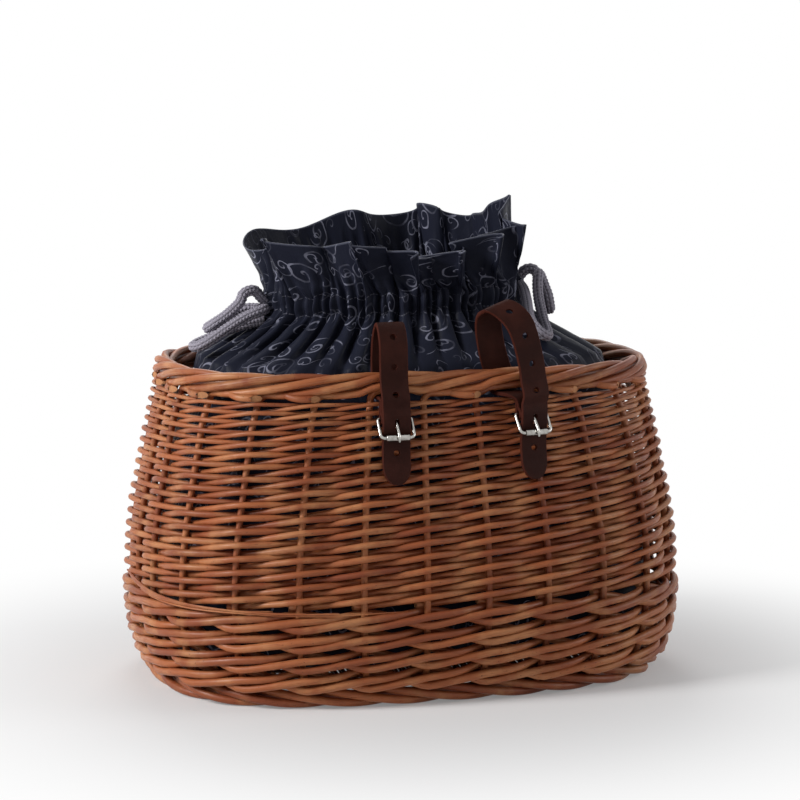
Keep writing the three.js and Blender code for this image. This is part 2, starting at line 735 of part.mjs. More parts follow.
// The strap's own directions at a place
function strapFrame(plan, point, along) {
  const shifted = (point.x - plan.slotX) / (plan.shift || 1);
  const yaw = plan.yaw * Math.min(1, Math.max(0, shifted));
  const across = new THREE.Vector3(Math.cos(yaw), Math.sin(yaw), 0);
  return { point, along, across, out: along.clone().cross(across).normalize() };
}

function frameAtShare(plan, curve, share) {
  return strapFrame(plan, curve.getPointAt(share), curve.getTangentAt(share));
}

// A section at each station, and more where the tongue narrows
function strapBand(plan, curve) {
  const steps = curve.points.length - 1;
  const places = Array.from({ length: steps + 1 }, (_, i) => i / steps);
  places.splice(-1, 0, ...[0.35, 0.65, 0.85].map((share) => 1 - (1 - share) / steps));
  const rings = [];
  for (const place of places) {
    const left = (1 - place) * steps * curve.points.at(-1).distanceTo(curve.points.at(-2));
    const narrow = Math.max(0, 1 - left / tongueLength);
    const half = (strapWidth / 2) * Math.sqrt(1 - 0.93 * narrow ** 2);
    const { point, across, out } = strapFrame(plan, curve.getPoint(place), curve.getTangent(place));
    rings.push([[half, halfStrap], [-half, halfStrap], [-half, -halfStrap], [half, -halfStrap]].map(
      ([side, depth]) => point.clone().addScaledVector(across, side).addScaledVector(out, depth)));
  }
  return loft(rings);
}

// Share of the length at which the last, outer run of the strap comes down to a height
function shareAtHeight(curve, z) {
  let [low, high] = [0.6, 1];
  for (let i = 0; i < 40; i++) {
    const middle = (low + high) / 2;
    if (curve.getPointAt(middle).z > z) {
      low = middle;
    } else {
      high = middle;
    }
  }
  return low;
}

// Turns a cutter whose axis is Y to lie across the strap at a place
function placeCutter(geometry, { point, along, across, out }) {
  const turn = new THREE.Matrix4().makeBasis(across, out, along.clone()).setPosition(point);
  return facingOut(geometry.applyMatrix4(turn));
}

function strap(plan) {
  const curve = strapCurve(plan);
  const length = curve.getLength();
  const holeShare = holeSpacing / length;
  let band = toSolid(strapBand(plan, curve));
  const cut = (geometry) => { band = band.subtract(toSolid(geometry)); };
  const prongShare = shareAtHeight(curve, heelHeight - prongHoleBelow);
  const prongSlot = prongWire + 2 * prongRoom;
  const prongHole = new THREE.BoxGeometry(prongSlot, 2 * strapThickness, prongHoleLength);
  cut(placeCutter(prongHole, frameAtShare(plan, curve, prongShare)));
  const holeRadius = holeDiameter / 2;
  for (const place of holesFromProng) {
    const hole = new THREE.CylinderGeometry(holeRadius, holeRadius, 2 * strapThickness, 7);
    cut(placeCutter(hole, frameAtShare(plan, curve, prongShare + place * holeShare)));
  }
  const eyeRadius = foldRadius + halfStrap + 0.1;
  const eyeRoom = new THREE.CylinderGeometry(eyeRadius, eyeRadius, prongSlot, 12);
  eyeRoom.rotateZ(Math.PI / 2).rotateZ(plan.yaw).translate(plan.frontX, -plan.heel, heelHeight);
  cut(eyeRoom);
  const barrelRadius = rivetBarrel / 2 + rivetGap;
  const barrel = new THREE.CylinderGeometry(barrelRadius, barrelRadius, 3 * strapThickness, 8);
  barrel.rotateZ(plan.yaw).translate(...rivetPlace(plan).toArray());
  cut(barrel);
  return fromSolid(band);
}

function rivetPlace(plan) {
  const front = (plan.inner + plan.outer) / 2;
  return new THREE.Vector3(strapX(plan, front, 0.96), -front, heelHeight + rivetAbove);
}

// An eyelet: a tube with a flange on each side of the two layers
function rivet(plan) {
  const half = (plan.outer - plan.inner) / 2 + halfStrap + rivetGap + rivetFlangeThickness;
  const shoulder = half - rivetFlangeThickness;
  const profile = [
    [rivetBore / 2, -half], [rivetFlange / 2, -half], [rivetFlange / 2, -shoulder],
    [rivetBarrel / 2, -shoulder], [rivetBarrel / 2, shoulder], [rivetFlange / 2, shoulder],
    [rivetFlange / 2, half], [rivetBore / 2, half], [rivetBore / 2, -half],
  ].map(([x, y]) => new THREE.Vector2(x, y));
  return new THREE.LatheGeometry(profile, 8);
}

// Buckle parts are made lying in their own plane: X along the bars, Y from heel to toe, Z outwards

function buckleFrame() {
  const half = buckleInside / 2 + wireRadius;
  const toe = buckleToeCorner;
  const heel = buckleHeelCorner;
  const corners = [
    [half - toe, buckleLength - toe, toe, 0],
    [-half + toe, buckleLength - toe, toe, 90],
    [-half + heel, heel, heel, 180],
    [half - heel, heel, heel, 270],
  ];
  const points = corners.flatMap(([x, y, radius, start]) => [0, 30, 60, 90].map((turn) => {
    const angle = (start + turn) * degrees;
    return new THREE.Vector3(x + radius * Math.cos(angle), y + radius * Math.sin(angle), 0);
  }));
  return wire(points, wireRadius, 6, true);
}

function roller() {
  const bore = wireRadius + rollerGap;
  const profile = [
    [bore, -rollerLength / 2], [rollerDiameter / 2, -rollerLength / 2],
    [rollerDiameter / 2, rollerLength / 2], [bore, rollerLength / 2], [bore, -rollerLength / 2],
  ].map(([x, y]) => new THREE.Vector2(x, y));
  return new THREE.LatheGeometry(profile, 12).rotateZ(Math.PI / 2).translate(0, buckleLength, 0);
}

function prong() {
  const prongRadius = prongWire / 2;
  const eye = wireRadius + prongGap + prongRadius;
  const overRoller = rollerDiameter / 2 + prongGap + prongRadius;
  const points = [];
  for (let turn = 245; turn >= 0; turn -= 35) {
    points.push(new THREE.Vector3(0, -eye * Math.sin(turn * degrees), eye * Math.cos(turn * degrees)));
  }
  points.push(new THREE.Vector3(0, buckleLength / 2, (eye + overRoller) / 2 - 0.1));
  points.push(new THREE.Vector3(0, buckleLength, overRoller + 0.05));
  points.push(new THREE.Vector3(0, buckleLength + prongPast * 0.6, overRoller - 0.5));
  points.push(new THREE.Vector3(0, buckleLength + prongPast + 1.3, overRoller - 2));
  const radii = points.map((_, i) => (i === points.length - 1 ? prongRadius * 0.7 : prongRadius));
  return wire(points, prongRadius, 6, false, radii);
}

function buckleTurn(plan) {
  const tilt = buckleTilt * degrees;
  const toToe = new THREE.Vector3(0, -Math.sin(tilt), -Math.cos(tilt));
  const outwards = new THREE.Vector3(0, -Math.cos(tilt), Math.sin(tilt));
  const lying = new THREE.Matrix4().makeBasis(new THREE.Vector3(-1, 0, 0), toToe, outwards);
  return new THREE.Matrix4().makeRotationZ(plan.yaw).multiply(lying);
}

for (const side of [-1, 1]) {
  const name = side < 0 ? 'left' : 'right';
  const plan = strapPlan(side);
  addPiece(`strap_${name}`, strap(plan), materials.leather);
  const fastener = addPiece(`rivet_${name}`, rivet(plan), materials.nickel);
  fastener.position.copy(rivetPlace(plan));
  fastener.rotation.z = plan.yaw;
  const buckle = new THREE.Group();
  buckle.position.set(plan.frontX, -plan.heel, heelHeight);
  buckle.setRotationFromMatrix(buckleTurn(plan));
  basket.add(buckle);
  const buckleParts = { frame: buckleFrame(), roller: roller(), prong: prong() };
  for (const [part, geometry] of Object.entries(buckleParts)) {
    buckle.add(addPiece(`buckle_${part}_${name}`, geometry, materials.nickel));
  }
}

basket.name = 'wicker_bicycle_basket';
export default basket;
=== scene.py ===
"""Wicker bicycle basket: the visual model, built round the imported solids.

Lengths inside the making functions are millimetres, as in the part's source. A piece is
turned into metres when its mesh is made.
"""

import math

import bmesh
import bpy
import numpy as np
from mathutils import Matrix, Vector


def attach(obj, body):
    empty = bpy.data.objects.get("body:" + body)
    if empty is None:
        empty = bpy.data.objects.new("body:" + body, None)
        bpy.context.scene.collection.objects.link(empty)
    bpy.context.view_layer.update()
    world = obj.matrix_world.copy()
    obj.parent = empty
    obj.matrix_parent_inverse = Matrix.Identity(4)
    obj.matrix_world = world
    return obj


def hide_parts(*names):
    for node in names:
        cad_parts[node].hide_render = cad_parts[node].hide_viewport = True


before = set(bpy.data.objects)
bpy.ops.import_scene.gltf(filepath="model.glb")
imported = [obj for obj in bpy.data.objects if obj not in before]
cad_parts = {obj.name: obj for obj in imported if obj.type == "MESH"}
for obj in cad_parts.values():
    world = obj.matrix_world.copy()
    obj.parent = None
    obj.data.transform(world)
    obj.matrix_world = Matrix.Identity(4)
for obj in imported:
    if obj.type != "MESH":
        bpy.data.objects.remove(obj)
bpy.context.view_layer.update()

bl_info = {
    "name": "Wicker bicycle basket",
    "version": (1, 0, 0),
    "blender": (4, 5, 0),
    "location": "3D View > Sidebar > Basket",
    "description": "A woven basket with a drawstring liner and two buckled straps",
    "category": "Object",
}

# The basket's own sizes, in millimetres, as the solids have them
BASKET_LENGTH = 400
BASKET_DEPTH = 290
BASKET_HEIGHT = 232
PLAN_POWER = 2.88  # how square the outline is from above; 2 would be an ellipse
OUTLINE = [(15.3, 0), (1.7, 37), (0, 100), (10.4, 166), (23.3, 232)]  # inset, height
STAKE_COUNT = 25
STAKE_RADIUS = 2.4
WEAVE_GAP = 0.4
THICKEST_ROD = 4.4
WALL_HALF = STAKE_RADIUS + WEAVE_GAP + THICKEST_ROD
RAND_BUTT, RAND_TIP = 4.4, 2.8
ROD_TAIL = 0.17  # how far a rod runs on past its last stake, in stakes
WALE_DIAMETER = 4.2
WALE_SEAM = 15  # the stake at which the lower rods start
WALE_STEP_STAKES = 3
WALE_RODS = 3
WALE_TOP = 70
FOOT_HEIGHT = 14
FOOT_THICKNESS = 18
FOOT_SET_IN = 2
RIM_HEIGHT = 16
RIM_THICKNESS = 15
RIM_BOTTOM = BASKET_HEIGHT - RIM_HEIGHT
RIM_MIDDLE = BASKET_HEIGHT - RIM_HEIGHT / 2
STRAP_CENTRE = 43
STRAP_GAP = 0.4
STRAP_THICKNESS = 2.6
STRAP_SLOT = STRAP_THICKNESS + 2 * STRAP_GAP
NECK_HALF_LENGTH, NECK_HALF_DEPTH = 94, 62
CHANNEL_HEIGHT = 274
CHANNEL_TILT = 4  # how much the channel rises from the neck's middle to its right end
CHANNEL_THICKNESS = 10.4
CHANNEL_WIDTH = 13
CHANNEL_BOTTOM = CHANNEL_HEIGHT - CHANNEL_WIDTH / 2
CHANNEL_TOP = CHANNEL_HEIGHT + CHANNEL_WIDTH / 2
RUFFLE_TOP = 331
RUFFLE_HALF_LENGTH, RUFFLE_HALF_DEPTH = 106, 72
CORD_DIAMETER = 6.3
CORD_GAP = 0.3

# Sizes that only the visual model has
PRESSED = 0.36  # the solids keep the weave's gap; real rods are pressed together
THICK_END, THIN_END = 4.2, 2.3  # of an upper rod, before it is pressed
WALE_WIDTH = 5.6
RIM_STRAND = 2.75
CLOTH_AROUND = 1060  # the way round the liner's cloth
DRAWN_IN = 13  # how far the neck is drawn in at the right
RIGHT_END = 105  # where it is drawn in so far, counted from the middle
RUFFLE_LEAN = 11  # how far the ruffle's edge leans to the left
GATHERS = 33
TUBE_HEIGHT, HALF_TUBE_HEIGHT = 12.5, 5.2  # of a gather, and of its two halves at the neck
NECK_SWELL = 3.2
BROAD_FOLDS = 10
EDGE_SEAM = 5  # from the ruffle's edge down to its stitches
KNIT_DEPTH = 0.95  # the hollows between the cord's stitches

VIEW_FROM = (-0.2899, -0.948, 0.1305)
VIEW_MIDDLE = (0, 0, 0.196)
LAMPS_AIM = (0, 0, 0.15)


def tone(red, green, blue):
    """A linear colour from the usual 0 to 255 values."""
    return tuple(
        value / 12.92 if value <= 0.04045 else ((value + 0.055) / 1.055) ** 2.4
        for value in (red / 255, green / 255, blue / 255)
    )


def colour_property(name, description, red, green, blue):
    return bpy.props.FloatVectorProperty(
        name=name, description=description, subtype="COLOR", size=3, min=0, max=1,
        default=tone(red, green, blue),
    )


class BasketColours(bpy.types.PropertyGroup):
    willow: colour_property("Willow", "Usual colour of a rod", 172, 100, 60)
    willow_dark: colour_property("Dark willow", "Streaks and darker rods", 132, 66, 38)
    willow_pale: colour_property("Pale willow", "Cut ends and worn places", 205, 148, 100)
    cloth: colour_property("Cloth", "Ground of the liner's cloth", 32, 34, 46)
    print: colour_property("Print", "Scrolls printed on the cloth", 138, 139, 156)
    cord: colour_property("Cord", "Yarn of the drawcord", 152, 147, 158)
    leather: colour_property("Leather", "Face of the straps", 46, 21, 16)
    leather_edge: colour_property("Leather edge", "Cut edges of the straps", 74, 34, 25)
    nickel: colour_property("Nickel", "Plating of the buckles and rivets", 176, 174, 170)
    floor: colour_property("Floor", "The studio floor", 236, 236, 236)


class BasketSizes(bpy.types.PropertyGroup):
    rod_sides: bpy.props.IntProperty(
        name="Rod sides", description="Faces round a rod", default=8, min=5, max=24)
    rod_steps: bpy.props.IntProperty(
        name="Rod steps", description="Steps along a rod from stake to stake",
        default=8, min=4, max=24)
    unevenness: bpy.props.FloatProperty(
        name="Unevenness", description="How far a rod strays from its even course",
        default=0.00025, min=0, max=0.002, subtype="DISTANCE", unit="LENGTH")
    cloth_points: bpy.props.IntProperty(
        name="Cloth points", description="Points round the liner", default=690, min=90, max=2000)
    cloth_thickness: bpy.props.FloatProperty(
        name="Cloth thickness", description="Thickness of the liner's cloth",
        default=0.0009, min=0.0002, max=0.003, subtype="DISTANCE", unit="LENGTH")
    ruffle_fold: bpy.props.FloatProperty(
        name="Ruffle fold", description="How far a fold of the ruffle stands out",
        default=0.0125, min=0, max=0.03, subtype="DISTANCE", unit="LENGTH")
    camera_distance: bpy.props.FloatProperty(
        name="Camera distance", description="From the middle of the view to the camera",
        default=2.0, min=0.5, max=10, subtype="DISTANCE", unit="LENGTH")
    camera_lens: bpy.props.FloatProperty(
        name="Lens", description="Focal length", default=122.85, min=20, max=300)


def colours():
    return bpy.context.scene.basket_colours


def sizes():
    return bpy.context.scene.basket_sizes


# Wall surface


def spline_through(points, count):
    """Points at even parameter steps along a uniform spline through the given ones."""
    points = np.array(points, float)
    last = len(points) - 1
    found = []
    for step in np.linspace(0, last, count + 1):
        i = min(int(step), last)
        t = step - i
        before, here = points[max(i - 1, 0)], points[i]
        after, beyond = points[min(i + 1, last)], points[min(i + 2, last)]
        start, end = (after - before) / 2, (beyond - here) / 2
        found.append(
            (2 * here - 2 * after + start + end) * t**3
            + (-3 * here + 3 * after - 2 * start - end) * t**2
            + start * t + here)
    return np.array(found)


OUTLINE_POINTS = spline_through(OUTLINE, 200)


def inset_at(z):
    return np.interp(z, OUTLINE_POINTS[:, 1], OUTLINE_POINTS[:, 0])


def plan_radius(angle, half_length, half_depth, power=PLAN_POWER):
    x = np.abs(np.cos(angle) / half_length) ** power
    y = np.abs(np.sin(angle) / half_depth) ** power
    return (x + y) ** (-1 / power)


def plan_edge(place, half_along, half_across):
    """How far the outline reaches sideways, at a place along its other axis."""
    return half_across * (1 - abs(place / half_along) ** PLAN_POWER) ** (1 / PLAN_POWER)


def ring_points(angle, reach, z):
    return np.stack([reach * np.cos(angle), reach * np.sin(angle), 0 * angle + z], -1)


PLAN_ANGLES = -math.pi / 2 + np.linspace(0, 2 * math.pi, 1441)


def plan_lengths():
    reach = plan_radius(
        PLAN_ANGLES, BASKET_LENGTH / 2 - WALL_HALF, BASKET_DEPTH / 2 - WALL_HALF)
    x, y = reach * np.cos(PLAN_ANGLES), reach * np.sin(PLAN_ANGLES)
    return np.concatenate([[0], np.cumsum(np.hypot(np.diff(x), np.diff(y)))])


PLAN_LENGTHS = plan_lengths()
ALL_ROUND = np.linspace(0, STAKE_COUNT, 301)[:-1]  # places counted in stakes


def angle_at(u):
    """Angle of a place counted in stakes. The front's middle lies before stake 0."""
    turns = (np.asarray(u, float) + 0.5) / STAKE_COUNT
    whole = np.floor(turns)
    length = (turns - whole) * PLAN_LENGTHS[-1]
    return np.interp(length, PLAN_LENGTHS, PLAN_ANGLES) + whole * 2 * math.pi


def stake_line(u, z):
    u, z = np.broadcast_arrays(np.asarray(u, float), np.asarray(z, float))
    inset = inset_at(z) + WALL_HALF
    angle = angle_at(u)
    reach = plan_radius(angle, BASKET_LENGTH / 2 - inset, BASKET_DEPTH / 2 - inset)
    return ring_points(angle, reach, z)


def eased(value, low, high):
    """A smooth step from 0 at low to 1 at high."""
    share = np.clip((value - low) / (high - low), 0, 1)
    return share * share * (3 - 2 * share)


def unit(vectors):
    return vectors / np.maximum(np.linalg.norm(vectors, axis=-1, keepdims=True), 1e-12)


def wall_place(u, z, out):
    """Points that stand out from the stakes' line, and the direction out of the wall there."""
    along = unit(stake_line(np.add(u, 0.01), z) - stake_line(np.subtract(u, 0.01), z))
    upward = unit(stake_line(u, np.add(z, 0.5)) - stake_line(u, np.subtract(z, 0.5)))
    outward = unit(np.cross(along, upward))
    return stake_line(u, z) + outward * np.asarray(out, float)[..., None], outward


# Meshes


class Pile:
    """Gathers the rings and faces of one piece, in millimetres, and makes its object."""

    def __init__(self):
        self.points, self.faces, self.uvs = [], [], []
        self.slots, self.smooth, self.shades, self.tints = [], [], [], []
        self.count = 0

    def add_points(self, points, tint=0.5, shade=0.0):
        points = np.asarray(points, float).reshape(-1, 3)
        self.points.append(points)
        self.tints.append(np.broadcast_to(np.asarray(tint, float).ravel(), len(points)))
        self.shades.append(np.broadcast_to(np.asarray(shade, float).ravel(), len(points)))
        start = self.count
        self.count += len(points)
        return start

    def add_face(self, corners, uvs, slot=0, smooth=True):
        self.faces.append(tuple(int(c) for c in corners))
        self.uvs.extend(uvs)
        self.slots.append(slot)
        self.smooth.append(smooth)

    def add_grid(self, points, u, v, close_u=False, close_v=False, slot=0, tint=0.5, shade=0.0,
                 turned=False):
        """A sheet of quads over points[v][u], with the cloth's own measures as its UVs.

        slot is one material slot, or one for each column. turned faces the sheet the other way."""
        rows, columns = points.shape[:2]
        start = self.add_points(points, tint, shade)
        slots = np.broadcast_to(slot, columns).tolist()
        order = (0, 3, 2, 1) if turned else (0, 1, 2, 3)
        for i in range(rows if close_v else rows - 1):
            here, above = start + i * columns, start + ((i + 1) % rows) * columns
            for j in range(columns if close_u else columns - 1):
                k = (j + 1) % columns
                corners = (here + j, here + k, above + k, above + j)
                spots = ((u[j], v[i]), (u[j + 1], v[i]), (u[j + 1], v[i + 1]), (u[j], v[i + 1]))
                self.add_face([corners[n] for n in order], [spots[n] for n in order], slots[j])
        return start

    def close_ends(self, start, rows, columns, slot=0):
        """Flat faces over the first and the last ring of a grid that is closed round."""
        last = start + (rows - 1) * columns
        for corners in (range(start + columns - 1, start - 1, -1), range(last, last + columns)):
            self.add_face(corners, [(0, 0)] * columns, slot)

    def tube(self, path, radius, sides, reference=None, loop=False, tint=0.5, shade=0.0,
             end_slot=0, flatten=1.0, slant=0.0):
        """A round rod along a path. tint is one value, or one for each point of the path.

        slant turns the last cut face towards the reference direction."""
        rings, lengths = rings_along(path, radius, sides, reference, loop, flatten)
        turns = np.arange(sides) * 2 * math.pi / sides
        if slant:
            reach = np.ravel(radius)[-1] * np.cos(turns)
            rings[-1] -= (slant * reach)[:, None] * unit(path[-1] - path[-2])
        count = len(path)
        u = np.append(lengths, lengths[-1] + np.linalg.norm(path[0] - path[-1]))
        v = np.linspace(0, 2 * math.pi * float(np.mean(radius)), sides + 1)
        start = self.add_points(rings, np.repeat(np.broadcast_to(tint, count), sides), shade)
        for i in range(count if loop else count - 1):
            here, above = start + i * sides, start + ((i + 1) % count) * sides
            for j in range(sides):
                k = (j + 1) % sides
                self.add_face(
                    (here + j, above + j, above + k, here + k),
                    ((u[i], v[j]), (u[i + 1], v[j]), (u[i + 1], v[j + 1]), (u[i], v[j + 1])))
        if not loop:
            last = start + (count - 1) * sides
            disc = [(0.5 * math.cos(t), 0.5 * math.sin(t)) for t in turns]
            self.add_face(range(start, start + sides), disc, end_slot, False)
            self.add_face(range(last + sides - 1, last - 1, -1), disc[::-1], end_slot, False)

    def build(self, name, materials, sharp=None):
        """The finished object, with its UVs in metres, and tint and shade at each point.

        sharp is the angle in degrees from which an edge between faces is drawn sharp."""
        mesh = bpy.data.meshes.new(name)
        points = np.concatenate(self.points) * 0.001
        mesh.from_pydata(points, [], self.faces)
        mesh.polygons.foreach_set("material_index", self.slots)
        mesh.polygons.foreach_set("use_smooth", self.smooth)
        layer = mesh.uv_layers.new(name="Lengths")
        layer.uv.foreach_set("vector", (np.array(self.uvs, float) * 0.001).ravel())
        for label, values in (("tint", self.tints), ("shade", self.shades)):
            attribute = mesh.attributes.new(label, "FLOAT", "POINT")
            attribute.data.foreach_set("value", np.concatenate(values))
        for material in materials:
            mesh.materials.append(material)
        mesh.validate()
        mesh.update()
        if sharp:
            mesh.set_sharp_from_angle(angle=math.radians(sharp))
        made = bpy.data.objects.new(name, mesh)
        bpy.context.scene.collection.objects.link(made)
        return made


def path_lengths(path):
    steps = np.linalg.norm(np.diff(path, axis=0), axis=1)
    return np.concatenate([[0], np.cumsum(steps)])


def rings_along(path, radius, sides, reference=None, loop=False, flatten=1.0):
    """Rings of points round a path. flatten squeezes them across the reference direction."""
    path = np.asarray(path, float)
    if loop:
        along = unit(np.roll(path, -1, 0) - np.roll(path, 1, 0))
    else:
        along = unit(np.gradient(path, axis=0))
    if reference is None:
        across = carried_along(along, loop)
    else:
        reference = np.broadcast_to(reference, path.shape)
        across = unit(reference - (reference * along).sum(-1, keepdims=True) * along)
    side = np.cross(along, across)
    turns = np.arange(sides) * 2 * math.pi / sides
    radius = np.asarray(radius, float)
    if radius.ndim < 2:
        radius = np.broadcast_to(radius.reshape(-1, 1), (len(path), 1))
    rings = path[:, None] + radius[..., None] * (
        np.cos(turns)[None, :, None] * across[:, None]
        + flatten * np.sin(turns)[None, :, None] * side[:, None])
    return rings, path_lengths(path)


def carried_along(along, loop):
    """A direction across a path that turns as little as it can on its way."""
    across = np.zeros_like(along)
    start = np.array([0, 0, 1.0]) if abs(along[0][2]) < 0.9 else np.array([1.0, 0, 0])
    for i, direction in enumerate(along):
        start = start - start.dot(direction) * direction
        start = start / np.linalg.norm(start)
        across[i] = start
    if loop:
        back = across[-1] - across[-1].dot(along[0]) * along[0]
        back = back / np.linalg.norm(back)
        twist = math.atan2(np.cross(back, across[0]).dot(along[0]), back.dot(across[0]))
        for i, direction in enumerate(along):
            angle = twist * i / len(along)
            sideways = np.cross(direction, across[i]) * math.sin(angle)
            across[i] = across[i] * math.cos(angle) + sideways
    return across


def smooth_through(points, per_span):
    """A centripetal spline through points, the course that the solids' cords and straps take."""
    points = [np.asarray(p, float) for p in points]
    ends = [2 * points[0] - points[1], *points, 2 * points[-1] - points[-2]]
    found = []
    for a, b, c, d in zip(ends, ends[1:], ends[2:], ends[3:]):
        d0, d1, d2 = (
            max(np.linalg.norm(q - p), 1e-6) ** 0.5 for p, q in ((a, b), (b, c), (c, d)))
        start = ((b - a) / d0 - (c - a) / (d0 + d1) + (c - b) / d1) * d1
        end = ((c - b) / d1 - (d - b) / (d1 + d2) + (d - c) / d2) * d1
        for step in range(per_span):
            t = step / per_span
            found.append(
                b + start * t + (-3 * b + 3 * c - 2 * start - end) * t**2
                + (2 * b - 2 * c + start + end) * t**3)
    found.append(points[-1])
    return np.array(found)


def even_steps(path, count):
    """The path again, at even steps of its length."""
    lengths = path_lengths(path)
    wanted = np.linspace(0, lengths[-1], count)
    return np.stack([np.interp(wanted, lengths, path[:, i]) for i in range(3)], -1)


def wander(rng, t, size, pace=1.0):
    """Slow seeded unevenness along a rod."""
    knots = rng.normal(0, size, int(np.ptp(t) * pace) + 3)
    place = (t - t.min()) * pace
    i = place.astype(int)
    share = (1 - np.cos(math.pi * (place - i))) / 2
    return knots[i] * (1 - share) + knots[i + 1] * share


# Materials


def new_material(name):
    material = bpy.data.materials.new(name)
    material.use_nodes = True
    tree = material.node_tree
    return material, tree, tree.nodes["Principled BSDF"]


def add_node(tree, kind, inputs=None, **settings):
    made = tree.nodes.new(kind)
    for key, value in settings.items():
        setattr(made, key, value)
    for key, value in (inputs or {}).items():
        if isinstance(value, bpy.types.NodeSocket):
            tree.links.new(value, made.inputs[key])
        else:
            made.inputs[key].default_value = value
    return made


def maths(tree, operation, *values):
    inputs = dict(enumerate(values))
    return add_node(tree, "ShaderNodeMath", inputs, operation=operation).outputs[0]


def times(tree, *values):
    return maths(tree, "MULTIPLY", *values)


def plus(tree, *values):
    return maths(tree, "ADD", *values)


def minus(tree, *values):
    return maths(tree, "SUBTRACT", *values)


def vectors(tree, operation, first, second):
    inputs = {0: first, 1: second}
    return add_node(tree, "ShaderNodeVectorMath", inputs, operation=operation).outputs["Vector"]


def split(tree, vector):
    return add_node(tree, "ShaderNodeSeparateXYZ", {0: vector}).outputs


def between(tree, value, low, high, to_low=0.0, to_high=1.0):
    """A smooth step from to_low to to_high while the value goes from low to high."""
    inputs = {"Value": value, "From Min": low, "From Max": high, "To Min": to_low,
              "To Max": to_high}
    made = add_node(tree, "ShaderNodeMapRange", inputs, interpolation_type="SMOOTHSTEP")
    return made.outputs["Result"]


def mixed(tree, factor, first, second):
    made = add_node(tree, "ShaderNodeMix", {0: factor}, data_type="RGBA")
    for socket, value in ((made.inputs[6], first), (made.inputs[7], second)):
        if isinstance(value, bpy.types.NodeSocket):
            tree.links.new(value, socket)
        else:
            socket.default_value = (*value[:3], 1)
    return made.outputs[2]


def noise(tree, vector, scale, detail=3.0, roughness=0.55, distortion=0.0):
    inputs = {"Vector": vector, "Scale": scale, "Detail": detail, "Roughness": roughness,
              "Distortion": distortion}
    return add_node(tree, "ShaderNodeTexNoise", inputs).outputs["Fac"]


def stretched(tree, vector, scale):
    inputs = {"Vector": vector, "Scale": scale}
    return add_node(tree, "ShaderNodeMapping", inputs).outputs["Vector"]


def attribute(tree, name):
    return add_node(tree, "ShaderNodeAttribute", attribute_name=name).outputs["Fac"]


def object_place(tree):
    return add_node(tree, "ShaderNodeTexCoord").outputs["Object"]


def lengths_uv(tree):
    return add_node(tree, "ShaderNodeUVMap", uv_map="Lengths").outputs["UV"]


def bumped(tree, shader, height, distance, strength):
    inputs = {"Height": height, "Distance": distance, "Strength": strength}
    made = add_node(tree, "ShaderNodeBump", inputs)
    tree.links.new(made.outputs["Normal"], shader.inputs["Normal"])


FINISH_SOCKETS = {
    "colour": "Base Color", "roughness": "Roughness", "metal": "Metallic",
    "specular": "Specular IOR Level", "sheen": "Sheen Weight",
}


def feed(tree, shader, **values):
    for key, value in values.items():
        socket = shader.inputs[FINISH_SOCKETS[key]]
        if isinstance(value, bpy.types.NodeSocket):
            tree.links.new(value, socket)
        else:
            socket.default_value = value


made_materials = {}


def kept(maker):
    """Makes a material once, however many pieces use it."""
    def give():
        if maker.__name__ not in made_materials:
            made_materials[maker.__name__] = maker()
        return made_materials[maker.__name__]
    return give


@kept
def willow():
    """Steamed willow rod: satin, streaked along its length, with small dark bud marks."""
    material, tree, shader = new_material("willow_rod")
    pick = colours()
    along = lengths_uv(tree)
    place = object_place(tree)
    tint = attribute(tree, "tint")
    streaks = noise(tree, stretched(tree, along, (70, 900, 1)), 1.0, 4.0)
    patches = noise(tree, place, 38)
    ground = mixed(tree, between(tree, tint, 0, 1), pick.willow_dark, pick.willow)
    ground = mixed(tree, between(tree, patches, 0.42, 0.72, 0, 0.55), ground, pick.willow_pale)
    ground = mixed(tree, between(tree, streaks, 0.45, 0.75, 0, 0.5), ground, pick.willow_dark)
    specks = noise(tree, stretched(tree, along, (420, 700, 1)), 1.0, 2.0)
    ground = mixed(tree, between(tree, specks, 0.66, 0.73, 0, 0.8), ground, tone(64, 26, 15))
    # painted shade: a piece's shade value darkens it; the core rings inside the borders have one
    shade = attribute(tree, "shade")
    ground = mixed(tree, times(tree, shade, 0.85), ground, tone(38, 18, 10))
    shine = between(tree, streaks, 0.3, 0.8, 0.36, 0.56)
    feed(tree, shader, colour=ground, roughness=shine, specular=0.3)
    height = plus(tree, times(tree, streaks, 0.6), times(tree, specks, 0.4))
    bumped(tree, shader, height, 0.0003, 0.5)
    return material


@kept
def willow_cut():
    """The pale pith of a rod that was cut across."""
    material, tree, shader = new_material("willow_cut_end")
    grain = noise(tree, object_place(tree), 900)
    pith = mixed(tree, grain, colours().willow_pale, tone(160, 100, 62))
    feed(tree, shader, colour=pith, roughness=0.75)
    bumped(tree, shader, grain, 0.0002, 0.6)
    return material


